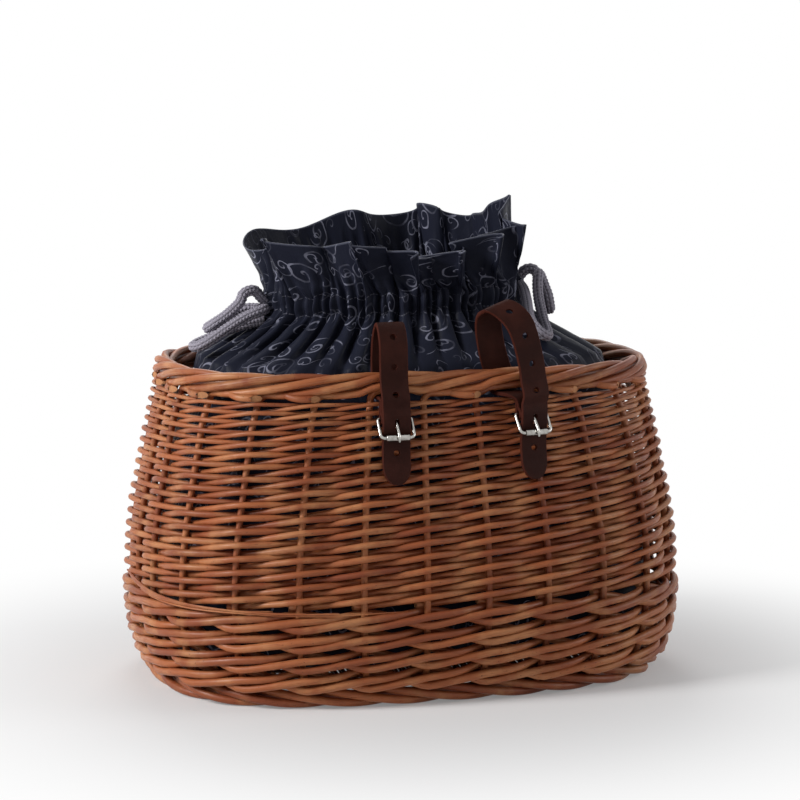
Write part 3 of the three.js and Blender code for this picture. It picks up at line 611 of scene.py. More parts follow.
def scroll_strokes(tree, uv, cells, pitch, reach, width):
    """Mask of curled strokes: one spiral in each cell, turned its own way."""
    inputs = {"Vector": uv, "Scale": cells, "Randomness": 0.75}
    cell = add_node(tree, "ShaderNodeTexVoronoi", inputs, voronoi_dimensions="2D")
    own = add_node(tree, "ShaderNodeSeparateColor", {0: cell.outputs["Color"]}).outputs
    axes = split(tree, vectors(tree, "SUBTRACT", uv, cell.outputs["Position"]))
    flip = maths(tree, "SIGN", minus(tree, own[1], 0.5))
    x, y = times(tree, axes["X"], flip), axes["Y"]
    far = maths(tree, "SQRT", plus(tree, times(tree, x, x), times(tree, y, y)))
    turn = maths(tree, "DIVIDE", maths(tree, "ARCTAN2", y, x), 2 * math.pi)
    wind = plus(tree, plus(tree, turn, own[0]), maths(tree, "DIVIDE", far, pitch))
    near = maths(tree, "ABSOLUTE", minus(tree, maths(tree, "FRACT", wind), 0.5))
    stroke = between(tree, times(tree, near, pitch), width * 0.35, width * 0.65, 1, 0)
    room = times(tree, plus(tree, own[2], 0.6), reach)
    inside = between(tree, minus(tree, far, room), -width * 0.4, 0, 1, 0)
    return times(tree, stroke, inside)


@kept
def cloth():
    """Dark satin cloth with an all-over print of pale scrolls and tendrils."""
    material, tree, shader = new_material("printed_cloth")
    pick = colours()
    uv = lengths_uv(tree)
    soft = noise(tree, uv, 60, 2.0)
    bent = add_node(tree, "ShaderNodeTexNoise", {"Vector": uv, "Scale": 55.0, "Detail": 1.0})
    bent = vectors(tree, "SUBTRACT", bent.outputs["Color"], (0.5, 0.5, 0.5))
    drawn = vectors(tree, "ADD", uv, vectors(tree, "MULTIPLY", bent, (0.007, 0.007, 0)))
    curls = scroll_strokes(tree, drawn, 30, 0.0078, 0.0095, 0.0016)
    moved = vectors(tree, "ADD", drawn, (0.017, 0.031, 0))
    small = scroll_strokes(tree, moved, 44, 0.0062, 0.0055, 0.0011)
    axes = split(tree, uv)
    sway = times(tree, noise(tree, uv, 24, 1.0), 2.6)
    rows = maths(tree, "FRACT", plus(tree, times(tree, axes["Y"], 26), sway))
    tendril = between(tree, maths(tree, "ABSOLUTE", minus(tree, rows, 0.5)), 0.008, 0.02, 1, 0)
    broken = between(tree, noise(tree, moved, 30, 1.0), 0.50, 0.54)
    tendril = times(tree, tendril, broken)
    strokes = maths(tree, "MAXIMUM", maths(tree, "MAXIMUM", curls, small), tendril)
    worn = between(tree, soft, 0.38, 0.62, 0.12, 0.85)
    strokes = times(tree, strokes, worn)
    threads = between(tree, noise(tree, uv, 1500, 2.0), 0.3, 0.7, 0, 0.25)
    ground = mixed(tree, threads, pick.cloth, tone(46, 49, 63))
    ground = mixed(tree, strokes, ground, pick.print)
    # shade is 1 on the lines of stitches, tint on the free edge
    seam = attribute(tree, "shade")
    dash = maths(tree, "FRACT", times(tree, axes["X"], 290))
    stitch = times(tree, between(tree, dash, 0.3, 0.38, 0, 1), between(tree, seam, 0.72, 0.9))
    stitch = times(tree, stitch, between(tree, noise(tree, uv, 12, 1.0), 0.4, 0.6, 0.1, 0.7))
    ground = mixed(tree, stitch, ground, tone(112, 112, 124))
    # painted highlight: the free edge, where tint is 1, is lightened
    edge = times(tree, between(tree, attribute(tree, "tint"), 0.2, 0.9), 0.6)
    ground = mixed(tree, edge, ground, tone(92, 94, 108))
    shine = between(tree, soft, 0.3, 0.7, 0.3, 0.4)
    feed(tree, shader, colour=ground, roughness=shine, specular=0.035)
    creases = noise(tree, stretched(tree, uv, (90, 35, 1)), 1.0, 4.0, 0.6, 0.6)
    bumped(tree, shader, plus(tree, creases, times(tree, stitch, 0.3)), 0.0016, 0.45)
    return material


@kept
def yarn():
    """Knitted cotton cord: matt yarn, with painted shade in the hollows between its stitches."""
    material, tree, shader = new_material("knitted_cord")
    fuzz = noise(tree, object_place(tree), 2600, 3.0, 0.7)
    painted_hollow_shade = attribute(tree, "shade")
    ground = mixed(tree, between(tree, fuzz, 0.3, 0.7), colours().cord, tone(176, 171, 184))
    # painted shade: the hollows between the stitches are darkened
    ground = mixed(tree, between(tree, painted_hollow_shade, 0.25, 0.95, 0, 0.9), ground, tone(38, 35, 43))
    feed(tree, shader, colour=ground, roughness=0.92, specular=0.2, sheen=0.08)
    bumped(tree, shader, fuzz, 0.0003, 0.7)
    return material


def leather_material(name, face, far, rough_low, rough_high, grain_scale):
    """Pebbled leather that goes in clouds from one colour to another."""
    material, tree, shader = new_material(name)
    place = object_place(tree)
    inputs = {"Vector": place, "Scale": grain_scale}
    pebbles = add_node(tree, "ShaderNodeTexVoronoi", inputs, feature="DISTANCE_TO_EDGE")
    fine = noise(tree, place, grain_scale * 2.2, 4.0, 0.6)
    cloudy = noise(tree, place, 55)
    ground = mixed(tree, between(tree, cloudy, 0.35, 0.75), face, far)
    ground = mixed(tree, between(tree, fine, 0.4, 0.8, 0, 0.35), ground, tone(28, 13, 10))
    shine = between(tree, cloudy, 0.3, 0.7, rough_low, rough_high)
    feed(tree, shader, colour=ground, roughness=shine, specular=0.06)
    raised = times(tree, between(tree, pebbles.outputs["Distance"], 0, 0.25), 0.5)
    bumped(tree, shader, plus(tree, raised, fine), 0.00025, 0.5)
    return material


@kept
def leather():
    return leather_material("leather_face", colours().leather, tone(60, 31, 25), 0.36, 0.48, 1400)


@kept
def leather_edge():
    return leather_material(
        "leather_cut_edge", colours().leather_edge, tone(66, 30, 22), 0.55, 0.7, 2600)


@kept
def nickel():
    """Bright nickel plate with the fine scratches of handling."""
    material, tree, shader = new_material("nickel_plate")
    place = object_place(tree)
    scratches = noise(tree, stretched(tree, place, (900, 3800, 900)), 1.0, 4.0)
    cloudy = noise(tree, place, 240, 2.0)
    ground = mixed(tree, between(tree, cloudy, 0.35, 0.7), colours().nickel, tone(150, 147, 142))
    shine = between(tree, scratches, 0.3, 0.8, 0.12, 0.3)
    feed(tree, shader, colour=ground, metal=1.0, roughness=shine)
    bumped(tree, shader, scratches, 0.00008, 0.4)
    return material


# Placing


def place_piece(made, body, slot, *nodes):
    """Lets a piece move with a body, and stand for its solids."""
    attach(made, body)
    if nodes:
        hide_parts(*nodes)


def place_willow(pile, name, *nodes):
    place_piece(pile.build(name, [willow(), willow_cut()]), "basket", "willow", *nodes)


def face_out(made):
    """Makes all faces of a closed mesh look outwards."""
    work = bmesh.new()
    work.from_mesh(made.data)
    bmesh.ops.recalc_face_normals(work, faces=work.faces)
    work.to_mesh(made.data)
    work.free()


def place_nickel(pile, name, body, node):
    made = pile.build(name, [nickel()], sharp=40)
    face_out(made)
    place_piece(made, body, "nickel", node)


# Cords. Each point is an offset from the cord's exit: outwards, forwards and up.

LEFT_BOW = [
    (0, 0, 0), (6.5, 0, 0), (12, 1, 4), (18, 3, 9.5), (26, 5, 7.5), (33.5, 6, 1.9), (45, 5, -8.7),
    (54.5, 2, -15.5), (58, -4, -19.5), (53, -9, -19.5), (44, -9.5, -15.5), (34, -9, -9.5),
    (25, -7, -5), (18, -4.5, -4.6), (12.5, 2.5, -4.8), (14, 10.5, -4), (20, 14, -5.5),
    (29, 15, -8.5), (45, 16, -17), (60, 15.5, -26.5), (69, 12, -32), (72.5, 5.5, -33),
    (68, 0, -31.5), (58, 0, -27.5), (47, 2.5, -22.5), (38, 4.5, -18.8), (28, 5.5, -16),
    (20, 6, -14.6), (13, 7, -13.8),
]
RIGHT_BOW = [
    (0, 0, 0), (6.8, 1, 2.2), (10, 3, 7.6), (13.6, 5, 12), (18.4, 6.6, 12.6), (22.4, 8, 8.6),
    (25, 10, 2), (26.5, 12.5, -5), (27.2, 15.5, -10.5), (26.8, 20, -14.6), (25.3, 25.6, -15.2),
    (23.5, 30, -11.6), (22, 30.5, -5), (20.5, 28, 1), (19, 26.5, 6), (17, 27.5, 9.8),
    (14.4, 31.5, 11), (12.2, 36, 8), (11, 39, 2), (10.5, 43, -6), (10.3, 49, -14),
    (9.9, 56, -21.5), (9.5, 63, -26.5), (7.8, 70, -29.2), (4, 75, -29.3), (-0.8, 75.6, -26),
    (-3.8, 71.2, -21.6), (-4, 64, -17.5), (-1.8, 54, -12.5), (0.8, 43, -6), (2.4, 31, 1),
    (2.2, 21, 3.5), (-0.5, 14.5, 2.5), (-5, 12, 0),
]


def drawn_in(points):
    """The gathered neck and all above it sit further in at the right."""
    moved = np.array(points, float)
    height = eased(moved[..., 2], BASKET_HEIGHT - 4, CHANNEL_BOTTOM)
    moved[..., 0] -= DRAWN_IN * height * np.clip(moved[..., 0] / RIGHT_END, 0, 1) ** 1.4
    return moved


def channel_level(x):
    return CHANNEL_HEIGHT + CHANNEL_TILT * x / NECK_HALF_LENGTH


def cord_exit(side):
    reach = NECK_HALF_LENGTH - CHANNEL_THICKNESS / 2
    out = side * (reach + CORD_DIAMETER / 2 + CORD_GAP)
    return drawn_in([out, 0, channel_level(side * reach)])


def bow_path(side, offsets):
    """A bow's course. The left bow is drawn a little smaller than its list."""
    start = cord_exit(side)
    shares = np.ones((len(offsets), 3))
    if side < 0:
        shares[5:] = (0.87, 1, 0.88)
    points = [
        start + share * (side * out, -forward, rise)
        for (out, forward, rise), share in zip(offsets, shares)]
    return smooth_through(points, 40)


def knitted_tube(pile, path, radius, loop=False, per_column=7, step=0.4):
    """A knitted cord: columns of V stitches stand out of the tube as ridges."""
    columns, stitch = 7, 2.7
    count = max(8, int(path_lengths(path)[-1] / step))
    path = even_steps(path, count + 1 if loop else count)
    if loop:
        path = path[:-1]
    sides = columns * per_column
    share = (np.arange(sides) / per_column) % 1
    leg = np.abs(share - 0.5) * 2
    lengths = path_lengths(path)
    rows = round(lengths[-1] / stitch)
    phase = lengths[:, None] * rows / lengths[-1] + 0.55 * leg[None]
    ridge = 0.5 + 0.5 * np.cos(2 * math.pi * phase)
    height = (1 - 0.75 * leg[None] ** 3) * (0.45 + 0.55 * ridge)
    radii = radius - KNIT_DEPTH * (1 - height)
    # the shade value paints shade into the hollows between the stitches
    pile.tube(path, radii, sides, loop=loop, shade=((1 - height) ** 1.3).ravel())


class MakeCords(bpy.types.Operator):
    """The drawcord: its stretch inside the channel and the bow at each side"""
    bl_idname = "basket.cords"
    bl_label = "Drawcord and bows"

    def execute(self, context):
        for name, side, offsets in (("left", -1, LEFT_BOW), ("right", 1, RIGHT_BOW)):
            path = bow_path(side, offsets)
            pile = Pile()
            knitted_tube(pile, path, CORD_DIAMETER / 2 + KNIT_DEPTH)
            bow = pile.build(f"knitted_cord_bow_{name}", [yarn()])
            place_piece(bow, "basket", "cord", f"cord_bow_{name}")
            tuple(cord_exit(side) * 0.001)
        angle = np.linspace(0, 2 * math.pi, 361)
        inward = CHANNEL_THICKNESS / 2
        reach = plan_radius(angle, NECK_HALF_LENGTH - inward, NECK_HALF_DEPTH - inward)
        line = drawn_in(ring_points(angle, reach, channel_level(reach * np.cos(angle))))
        pile = Pile()
        knitted_tube(pile, line, CORD_DIAMETER / 2, loop=True, per_column=5, step=0.8)
        neck = pile.build("knitted_drawcord_in_channel", [yarn()])
        place_piece(neck, "basket", "cord", "drawcord_neck")
        return {"FINISHED"}


# Willow


def along_wall(pile, u, z, out, radius, tint, sides=None):
    """A rod with two cut ends that follows the wall."""
    path, outward = wall_place(u, z, out)
    pile.tube(path, radius, sides or sizes().rod_sides, outward, tint=tint, end_slot=1)


def rand_places():
    """Height and thickness that the solids' upper rods have at each stake they pass."""
    top = RIM_BOTTOM - STRAP_SLOT
    bottom = WALE_TOP + WEAVE_GAP
    mean = (RAND_BUTT + RAND_TIP) / 2
    room = top - bottom - mean
    steps = 2 * int(room / (2 * (mean + WEAVE_GAP)))
    stretch = room / (steps * (mean + WEAVE_GAP))
    heights, widths = [bottom + RAND_BUTT / 2], [RAND_BUTT]
    for i in range(1, steps + 1):
        width = RAND_BUTT + (RAND_TIP - RAND_BUTT) * i / steps
        heights.append(heights[-1] + stretch * ((widths[-1] + width) / 2 + WEAVE_GAP))
        widths.append(width)
    return np.array(heights), np.array(widths)


def rod_courses():
    """The same for the visible rods, which thin out and close up towards the rim."""
    steps = len(rand_places()[0]) - 1
    widths = THICK_END + (THIN_END - THICK_END) * (np.arange(steps + 1) / steps) ** 2.4
    rises = (widths[1:] + widths[:-1]) / 2 + WEAVE_GAP
    bottom = WALE_TOP + WEAVE_GAP + widths[0] / 2
    top = RIM_BOTTOM - STRAP_SLOT - widths[-1] / 2
    return bottom + np.append(0, np.cumsum(rises)) * (top - bottom) / rises.sum(), widths


class MakeRand(bpy.types.Operator):
    """The 25 thin rods of the upper wall, in front of one stake and behind the next"""
    bl_idname = "basket.rand"
    bl_label = "Upper weave"

    def execute(self, context):
        heights, widths = rod_courses()
        last = len(heights) - 1
        stray = sizes().unevenness * 1000
        for k in range(STAKE_COUNT):
            rng = np.random.default_rng(100 + k)
            t = np.arange(-ROD_TAIL, last + ROD_TAIL, 1 / sizes().rod_steps)
            t = np.append(t, last + ROD_TAIL)
            width = np.interp(t, range(last + 1), widths) + PRESSED
            width = width * (1 + wander(rng, t, 0.03, 0.7))
            z = np.interp(t, range(last + 1), heights) + wander(rng, t, stray, 0.9)
            # level up to the stake that it passes in front of, and steeper after it
            z = z + 1.05 * (2 * np.abs((t + 1) % 2 - 1) - 1)
            reach = STAKE_RADIUS + WEAVE_GAP / 2 + width / 2
            # nearly straight from stake to stake, with a tight bend round each
            bent = (np.cos(math.pi * t) + 0.07 * np.cos(3 * math.pi * t)) / 1.07
            out = -reach * bent + wander(rng, t, stray, 0.8)
            tint = np.clip(rng.normal(0.6, 0.22) + wander(rng, t, 0.14, 0.4), 0, 1)
            pile = Pile()
            along_wall(pile, k + t, z, out, width / 2, tint)
            place_willow(pile, f"upper_weave_rod_{k + 1:02d}", f"rand_rod_{k + 1:02d}")
        return {"FINISHED"}


def wale_stroke():
    """How far out and how high a lower rod runs in one stroke, past three stakes.

    It is behind a stake, comes down and out below the other two rods, then rises gently
    past two stakes and goes in again."""
    steps = np.linspace(0, WALE_RODS, 301)
    across = np.interp(
        steps, [0, 0.3, 0.58, 0.8, 1, 1.5, 2, 2.3, 2.58, 2.8, 3],
        [-1, -0.7, 0, 0.72, 1.1, 1.1, 1.08, 1.0, 0.62, -0.2, -1])
    lifted = np.interp(steps, [0, 0.2, 0.92, 1.06, 2, 3], [1, 0.84, -0.98, -1, 0.42, 1])
    window = np.hanning(23) / np.hanning(23).sum()
    across, lifted = (
        np.convolve(np.concatenate([line[-12:-1], line, line[1:12]]), window, "valid")
        for line in (across, lifted))
    return steps, across, lifted


class MakeWale(bpy.types.Operator):
    """The three thicker rods of the lower band, in front of two stakes and behind one"""
    bl_idname = "basket.wale"
    bl_label = "Lower weave"

    def execute(self, context):
        radius = WALE_DIAMETER / 2
        bottom = FOOT_HEIGHT + WEAVE_GAP
        reach = STAKE_RADIUS + WEAVE_GAP + radius + PRESSED
        room = WALE_TOP - bottom - WALE_DIAMETER
        levels = int(room / (WALE_DIAMETER + WEAVE_GAP)) + 1
        rounds = levels // WALE_RODS
        pitch = room / (rounds * WALE_RODS - 1)
        steps = rounds * STAKE_COUNT - WALE_STEP_STAKES - 1
        stray = sizes().unevenness * 1000
        fine, across, lifted = wale_stroke()
        for rod in range(WALE_RODS):
            passed = np.arange(steps + 1) + rod
            turn = passed // STAKE_COUNT
            left = STAKE_COUNT - passed % STAKE_COUNT
            climbing = np.where(
                turn < rounds - 1, np.maximum(0, 1 - left / WALE_STEP_STAKES), 0)
            heights = bottom + radius + (WALE_RODS * (turn + climbing) + 1) * pitch
            rng = np.random.default_rng(200 + rod)
            # thin tips fill the wedges below and above the places where a round climbs
            start, end = 0.4 - WALE_STEP_STAKES - rod, rounds * STAKE_COUNT - rod - 0.4
            t = np.append(np.arange(start, end, 1 / sizes().rod_steps), end)
            below = np.clip(-(t + rod) / WALE_STEP_STAKES, 0, 1)
            above = np.clip((t + rod - rounds * STAKE_COUNT) / WALE_STEP_STAKES + 1, 0, 1)
            wedge = below + above
            cycle = np.mod(t, WALE_RODS)
            z = np.interp(t, range(steps + 1), heights) + wander(rng, t, stray, 0.8)
            stroke = 0.95 * (1 - wedge) * np.interp(cycle, fine, lifted)
            z = z + (stroke + 1.5 * (above - below)) * pitch
            out = reach * np.interp(cycle, fine, across) + wander(rng, t, stray, 0.8)
            width = WALE_WIDTH * (1 + wander(rng, t, 0.035, 0.4)) * (1 - 0.7 * wedge)
            tint = np.clip(0.5 + wander(rng, t, 0.3, 0.12), 0, 1)
            pile = Pile()
            along_wall(pile, WALE_SEAM + rod + t, z, out, width / 2, tint)
            place_willow(pile, f"lower_weave_rod_{rod + 1}", f"wale_rod_{rod + 1}")
        self.thin_tips()
        return {"FINISHED"}

    @staticmethod
    def thin_tips():
        """Five tips that run out over the top of the lower weave at the front left."""
        pile = Pile()
        rng = np.random.default_rng(250)
        for tip in range(5):
            u = np.linspace(-7.2 + 0.35 * tip, -3.4 + 0.5 * tip, 60)
            run = (u - u[0]) / (u[-1] - u[0])
            z = WALE_TOP + 7.5 - 1.5 * tip - (6.5 - 0.9 * tip) * run + wander(rng, u, 0.3)
            out = 6.6 + 0.7 * np.sin(math.pi * run) + 0.5 * (tip % 2) + wander(rng, u, 0.25)
            out = out - 3.5 * eased(run, 0.85, 1)
            radius = np.interp(run, [0, 0.1, 1], [0.6, 0.95, 0.5]) * (1.15 - 0.08 * tip)
            along_wall(pile, u, z, out, radius, float(rng.uniform(0.3, 0.9)), sides=6)
        place_willow(pile, "thin_tips_over_lower_weave")


def near_strap(points):
    """1 where a point of the front lies at a strap, falling to 0 on both sides."""
    apart = np.abs(np.abs(points[..., 0]) - STRAP_CENTRE)
    reach, fade = 21, 8
    return np.where(points[..., 1] < 0, np.clip((reach - apart) / fade, 0, 1), 0)


def border_places(u, z, out, middle):
    """Points of a border: heights and distances counted from the wall's middle line there."""
    outward = unit(wall_place(u, middle, 0)[1] * (1, 1, 0))
    points = stake_line(u, middle) + outward * np.broadcast_to(out, len(u))[:, None]
    points[:, 2] = z
    return points, outward


def add_core(pile, z, out, middle, radius, tint, shade, flatten=1.0):
    """A ring that fills the inside of a border, dark with painted shade from its low tint and its
    shade value.
    """
    ring, outward = border_places(ALL_ROUND, z, out, middle)
    pile.tube(ring, radius, 8, outward, loop=True, tint=tint, shade=shade, flatten=flatten)


def rim_room(points):
    """Middle and half height of the rim's strands. Away from the straps they stand taller."""
    free = 1 - near_strap(points)
    return RIM_MIDDLE - 1.6 * free, RIM_HEIGHT / 2 - RIM_STRAND + 1.1 * free


class MakeStakes(bpy.types.Operator):
    """The 25 stakes, each turned down to the right at the top into the rim border"""
    bl_idname = "basket.stakes"
    bl_label = "Stakes and rim border"

    def execute(self, context):
        pile = Pile()
        half_out = RIM_THICKNESS / 2 - RIM_STRAND
        turn_per_stake = math.radians(70)
        bend = 6.5  # the radius with which a stake turns over
        under = 6.5  # how far out its cut end is
        spacing = PLAN_LENGTHS[-1] / STAKE_COUNT * 0.92
        stem_points, border_points = 26, 80
        for k in range(STAKE_COUNT):
            rng = np.random.default_rng(300 + k)
            low_middle, low_half = rim_room(stake_line(k, RIM_MIDDLE))
            top = low_middle - low_half
            rising = np.linspace(FOOT_HEIGHT - 3, top - bend, stem_points)
            turns = np.linspace(0, math.pi / 2, 7)[1:]
            start = k + bend / spacing
            end = k + 4.95 + rng.uniform(-0.05, 0.05)
            run = np.linspace(start, end, border_points)[1:]
            middle, half_rise = rim_room(stake_line(run, RIM_MIDDLE))
            angle = -math.pi / 2 + turn_per_stake * (run - start)
            z = middle + half_rise * np.sin(angle)
            out = half_out * np.cos(angle)
            # the cut end comes out under the border, just before a stake; not at a strap
            at_strap = sum(near_strap(stake_line(k + on, RIM_MIDDLE)) for on in (5, 4.5))
            leave = eased(run, k + 4.15, k + 4.8) * (at_strap < 0.05)
            z = z * (1 - leave) + (RIM_BOTTOM - 1.5) * leave
            out = out * (1 - leave) + under * leave
            turning = k + bend / spacing * (1 - np.cos(turns))
            stem = np.append(np.full(stem_points, float(k)), turning)
            stem_z = np.append(rising, top - bend + bend * np.sin(turns))
            # from a height of 196 mm the sloping wall's line is eased into the border's
            border_line, stem_out = border_places(stem, stem_z, 0, RIM_MIDDLE)
            share = eased(stem_z, 196, top)[:, None]
            stem_line = stake_line(stem, stem_z) * (1 - share) + border_line * share
            winding, outward = border_places(run, z, out, RIM_MIDDLE)
            u = np.append(stem, run)
            # thicker in the border, and thin again at the cut end
            radius = np.interp(
                np.arange(len(u)), [0, 24, 40, len(u) - 14, len(u) - 1],
                [STAKE_RADIUS, STAKE_RADIUS, RIM_STRAND, RIM_STRAND * 0.97, STAKE_RADIUS])
            tint = np.clip(rng.normal(0.55, 0.25) + wander(rng, u, 0.12), 0, 1)
            pile.tube(np.concatenate([stem_line, winding]), radius, sizes().rod_sides,
                      np.concatenate([stem_out, outward]), tint=tint, end_slot=1, slant=1.7)
        # the rim's core ring is darkened with painted shade
        free = 1 - near_strap(stake_line(ALL_ROUND, RIM_MIDDLE))
        add_core(pile, RIM_MIDDLE - 1.2 * free, 0, RIM_MIDDLE, 3.3, 0.1, 0.5, 1.35)
        place_willow(pile, "stakes_and_twisted_rim", "stakes_and_rim")
        return {"FINISHED"}


class MakeFoot(bpy.types.Operator):
    """The twisted border that the basket stands on"""
    bl_idname = "basket.foot"
    bl_label = "Foot border"

    def execute(self, context):
        pile = Pile()
        radius = 3.1
        middle = FOOT_HEIGHT / 2
        half_rise, half_out = middle - radius, FOOT_THICKNESS / 2 - radius
        for k in range(STAKE_COUNT):
            rng = np.random.default_rng(400 + k)
            t = np.linspace(0, 1, 40)
            u = k + 3.5 * t
            angle = math.radians(115) - 2 * math.pi * 1.02 * t
            out = half_out * np.cos(angle) - FOOT_SET_IN
            path, outward = border_places(u, middle + half_rise * np.sin(angle), out, middle)
            tint = np.clip(rng.normal(0.4, 0.22) + wander(rng, u, 0.1), 0, 1)
            width = radius * (1 + wander(rng, u, 0.02))
            width = width * np.interp(t, [0, 0.1, 0.9, 1], [0.85, 1, 1, 0.85])
            pile.tube(path, width, sizes().rod_sides, outward, tint=tint, end_slot=1)
        # the foot's core ring is darkened with painted shade
        add_core(pile, middle + 0.6, -FOOT_SET_IN, middle, 4.6, 0.1, 0.5, 0.9)
        place_willow(pile, "twisted_foot_border", "foot_border")
        return {"FINISHED"}


class MakeBase(bpy.types.Operator):
    """The woven base and its sticks"""
    bl_idname = "basket.base"
    bl_label = "Base"

    def execute(self, context):
        stick_radius, rod_radius = 2.1, 1.35
        thickness, spacing = 8, 40
        middle = FOOT_HEIGHT + WEAVE_GAP + thickness / 2
        inset = (inset_at(middle) + WALL_HALF + STAKE_RADIUS + WEAVE_GAP + WALE_DIAMETER
                 + 3 * WEAVE_GAP)
        half_length = BASKET_LENGTH / 2 - inset
        half_depth = BASKET_DEPTH / 2 - inset
        rows = (np.arange(4) - 1.5) * spacing
        for i, y in enumerate(rows):
            reach = plan_edge(y, half_depth, half_length) - 1
            rng = np.random.default_rng(500 + i)
            x = np.linspace(-reach, reach, 24)
            width = stick_radius * (1 + wander(rng, x / spacing, 0.02))
            pile = Pile()
            pile.tube(np.stack([x, 0 * x + y, 0 * x + middle], -1), width, 12,
                      np.array([0, 0, 1.0]), tint=0.45, end_slot=1)
            place_willow(pile, f"willow_base_stick_{i + 1}", f"base_stick_{i + 1}")
        pile = Pile()
        pitch = 2 * rod_radius + 0.35
        count = int((half_length - 3) / pitch)
        for n in range(-count, count + 1):
            x = n * pitch
            reach = plan_edge(x, half_length, half_depth) - 1.5
            rng = np.random.default_rng(600 + n + count)
            y = np.linspace(-reach, reach, 44)
            swing = (stick_radius + rod_radius) * (1 if n % 2 else -1)
            z = middle + swing * np.cos(math.pi * (y - rows[0]) / spacing)
            tint = float(np.clip(rng.normal(0.45, 0.25), 0, 1))
            pile.tube(np.stack([0 * y + x, y, z], -1), rod_radius, 6,
                      np.array([1.0, 0, 0]), tint=tint, end_slot=1)
        # three thin rods lie round the edge
        angle = np.linspace(0, 2 * math.pi, 181)[:-1]
        edge = plan_radius(angle, half_length - 1.2, half_depth - 1.2)
        for level in (-2.6, 0, 2.6):
            pile.tube(ring_points(angle, edge, middle + level), 1.25, 6, loop=True)
        # a core ring under the base's edge, darkened with painted shade
        add_core(pile, FOOT_HEIGHT + 1.6, -5.4, middle, 2.4, 0.35, 0.25)
        place_willow(pile, "woven_base", "base_weave")
        return {"FINISHED"}


# Liner


def cloth_levels():
    """Heights of the liner, from its bottom seam to its free edge, with its half length and
    half depth there."""
    slack = 6  # the bag hangs a little away from the wall

    def inside(z, shrink):
        inset = inset_at(z) + (2 * WALL_HALF + 0.5) + shrink
        return z, BASKET_LENGTH / 2 - inset, BASKET_DEPTH / 2 - inset

    def towards(a, b, share):
        return tuple(p + (q - p) * share for p, q in zip(a, b))

    at_rim = inside(BASKET_HEIGHT, RIM_THICKNESS / 2 + 2 * STRAP_THICKNESS)[1:]
    neck = (NECK_HALF_LENGTH, NECK_HALF_DEPTH)
    ruffle = (RUFFLE_HALF_LENGTH - 6, RUFFLE_HALF_DEPTH)
    bag = ((23.8, 14), (26, 7), (32, 3), (60, slack), (100, slack), (166, slack))
    cone = ((0, 0.09), (5, 0.24), (11, 0.44), (22, 0.73), (30, 0.92))
    return np.array([
        *(inside(z, shrink) for z, shrink in bag),
        (RIM_BOTTOM - 2 * STRAP_SLOT, *at_rim), (BASKET_HEIGHT - 9, *at_rim),
        *((BASKET_HEIGHT + rise, *towards(at_rim, neck, share)) for rise, share in cone),
        (CHANNEL_BOTTOM, *neck), (CHANNEL_TOP, *neck),
        (CHANNEL_TOP + (RUFFLE_TOP - CHANNEL_TOP) * 0.4, *towards(neck, ruffle, 0.4)),
        (RUFFLE_TOP, *ruffle)])


def closed_cloth(pile, points, around, v, tint, shade):
    """A band of cloth with two skins, closed along both of its edges."""
    rows, columns = points.shape[:2]
    du = np.roll(points, -1, 1) - np.roll(points, 1, 1)
    normal = unit(np.cross(du, np.gradient(points, axis=0)))
    inner = points - normal * sizes().cloth_thickness * 1000
    u = np.append(around, 1) * CLOTH_AROUND
    looks = {"tint": np.repeat(tint, columns), "shade": np.repeat(shade, columns)}
    outer_start = pile.add_grid(points, u, v, close_u=True, **looks)
    inner_start = pile.add_grid(inner, u, v, close_u=True, turned=True, **looks)
    for row, order in ((0, -1), (rows - 1, 1)):
        a, b = outer_start + row * columns, inner_start + row * columns
        for j in range(columns):
            k = (j + 1) % columns
            spots = ((u[j], v[row]), (u[j + 1], v[row]), (u[j + 1], v[row]), (u[j], v[row]))
            pile.add_face((a + j, a + k, b + k, b + j)[::order], spots[::order])


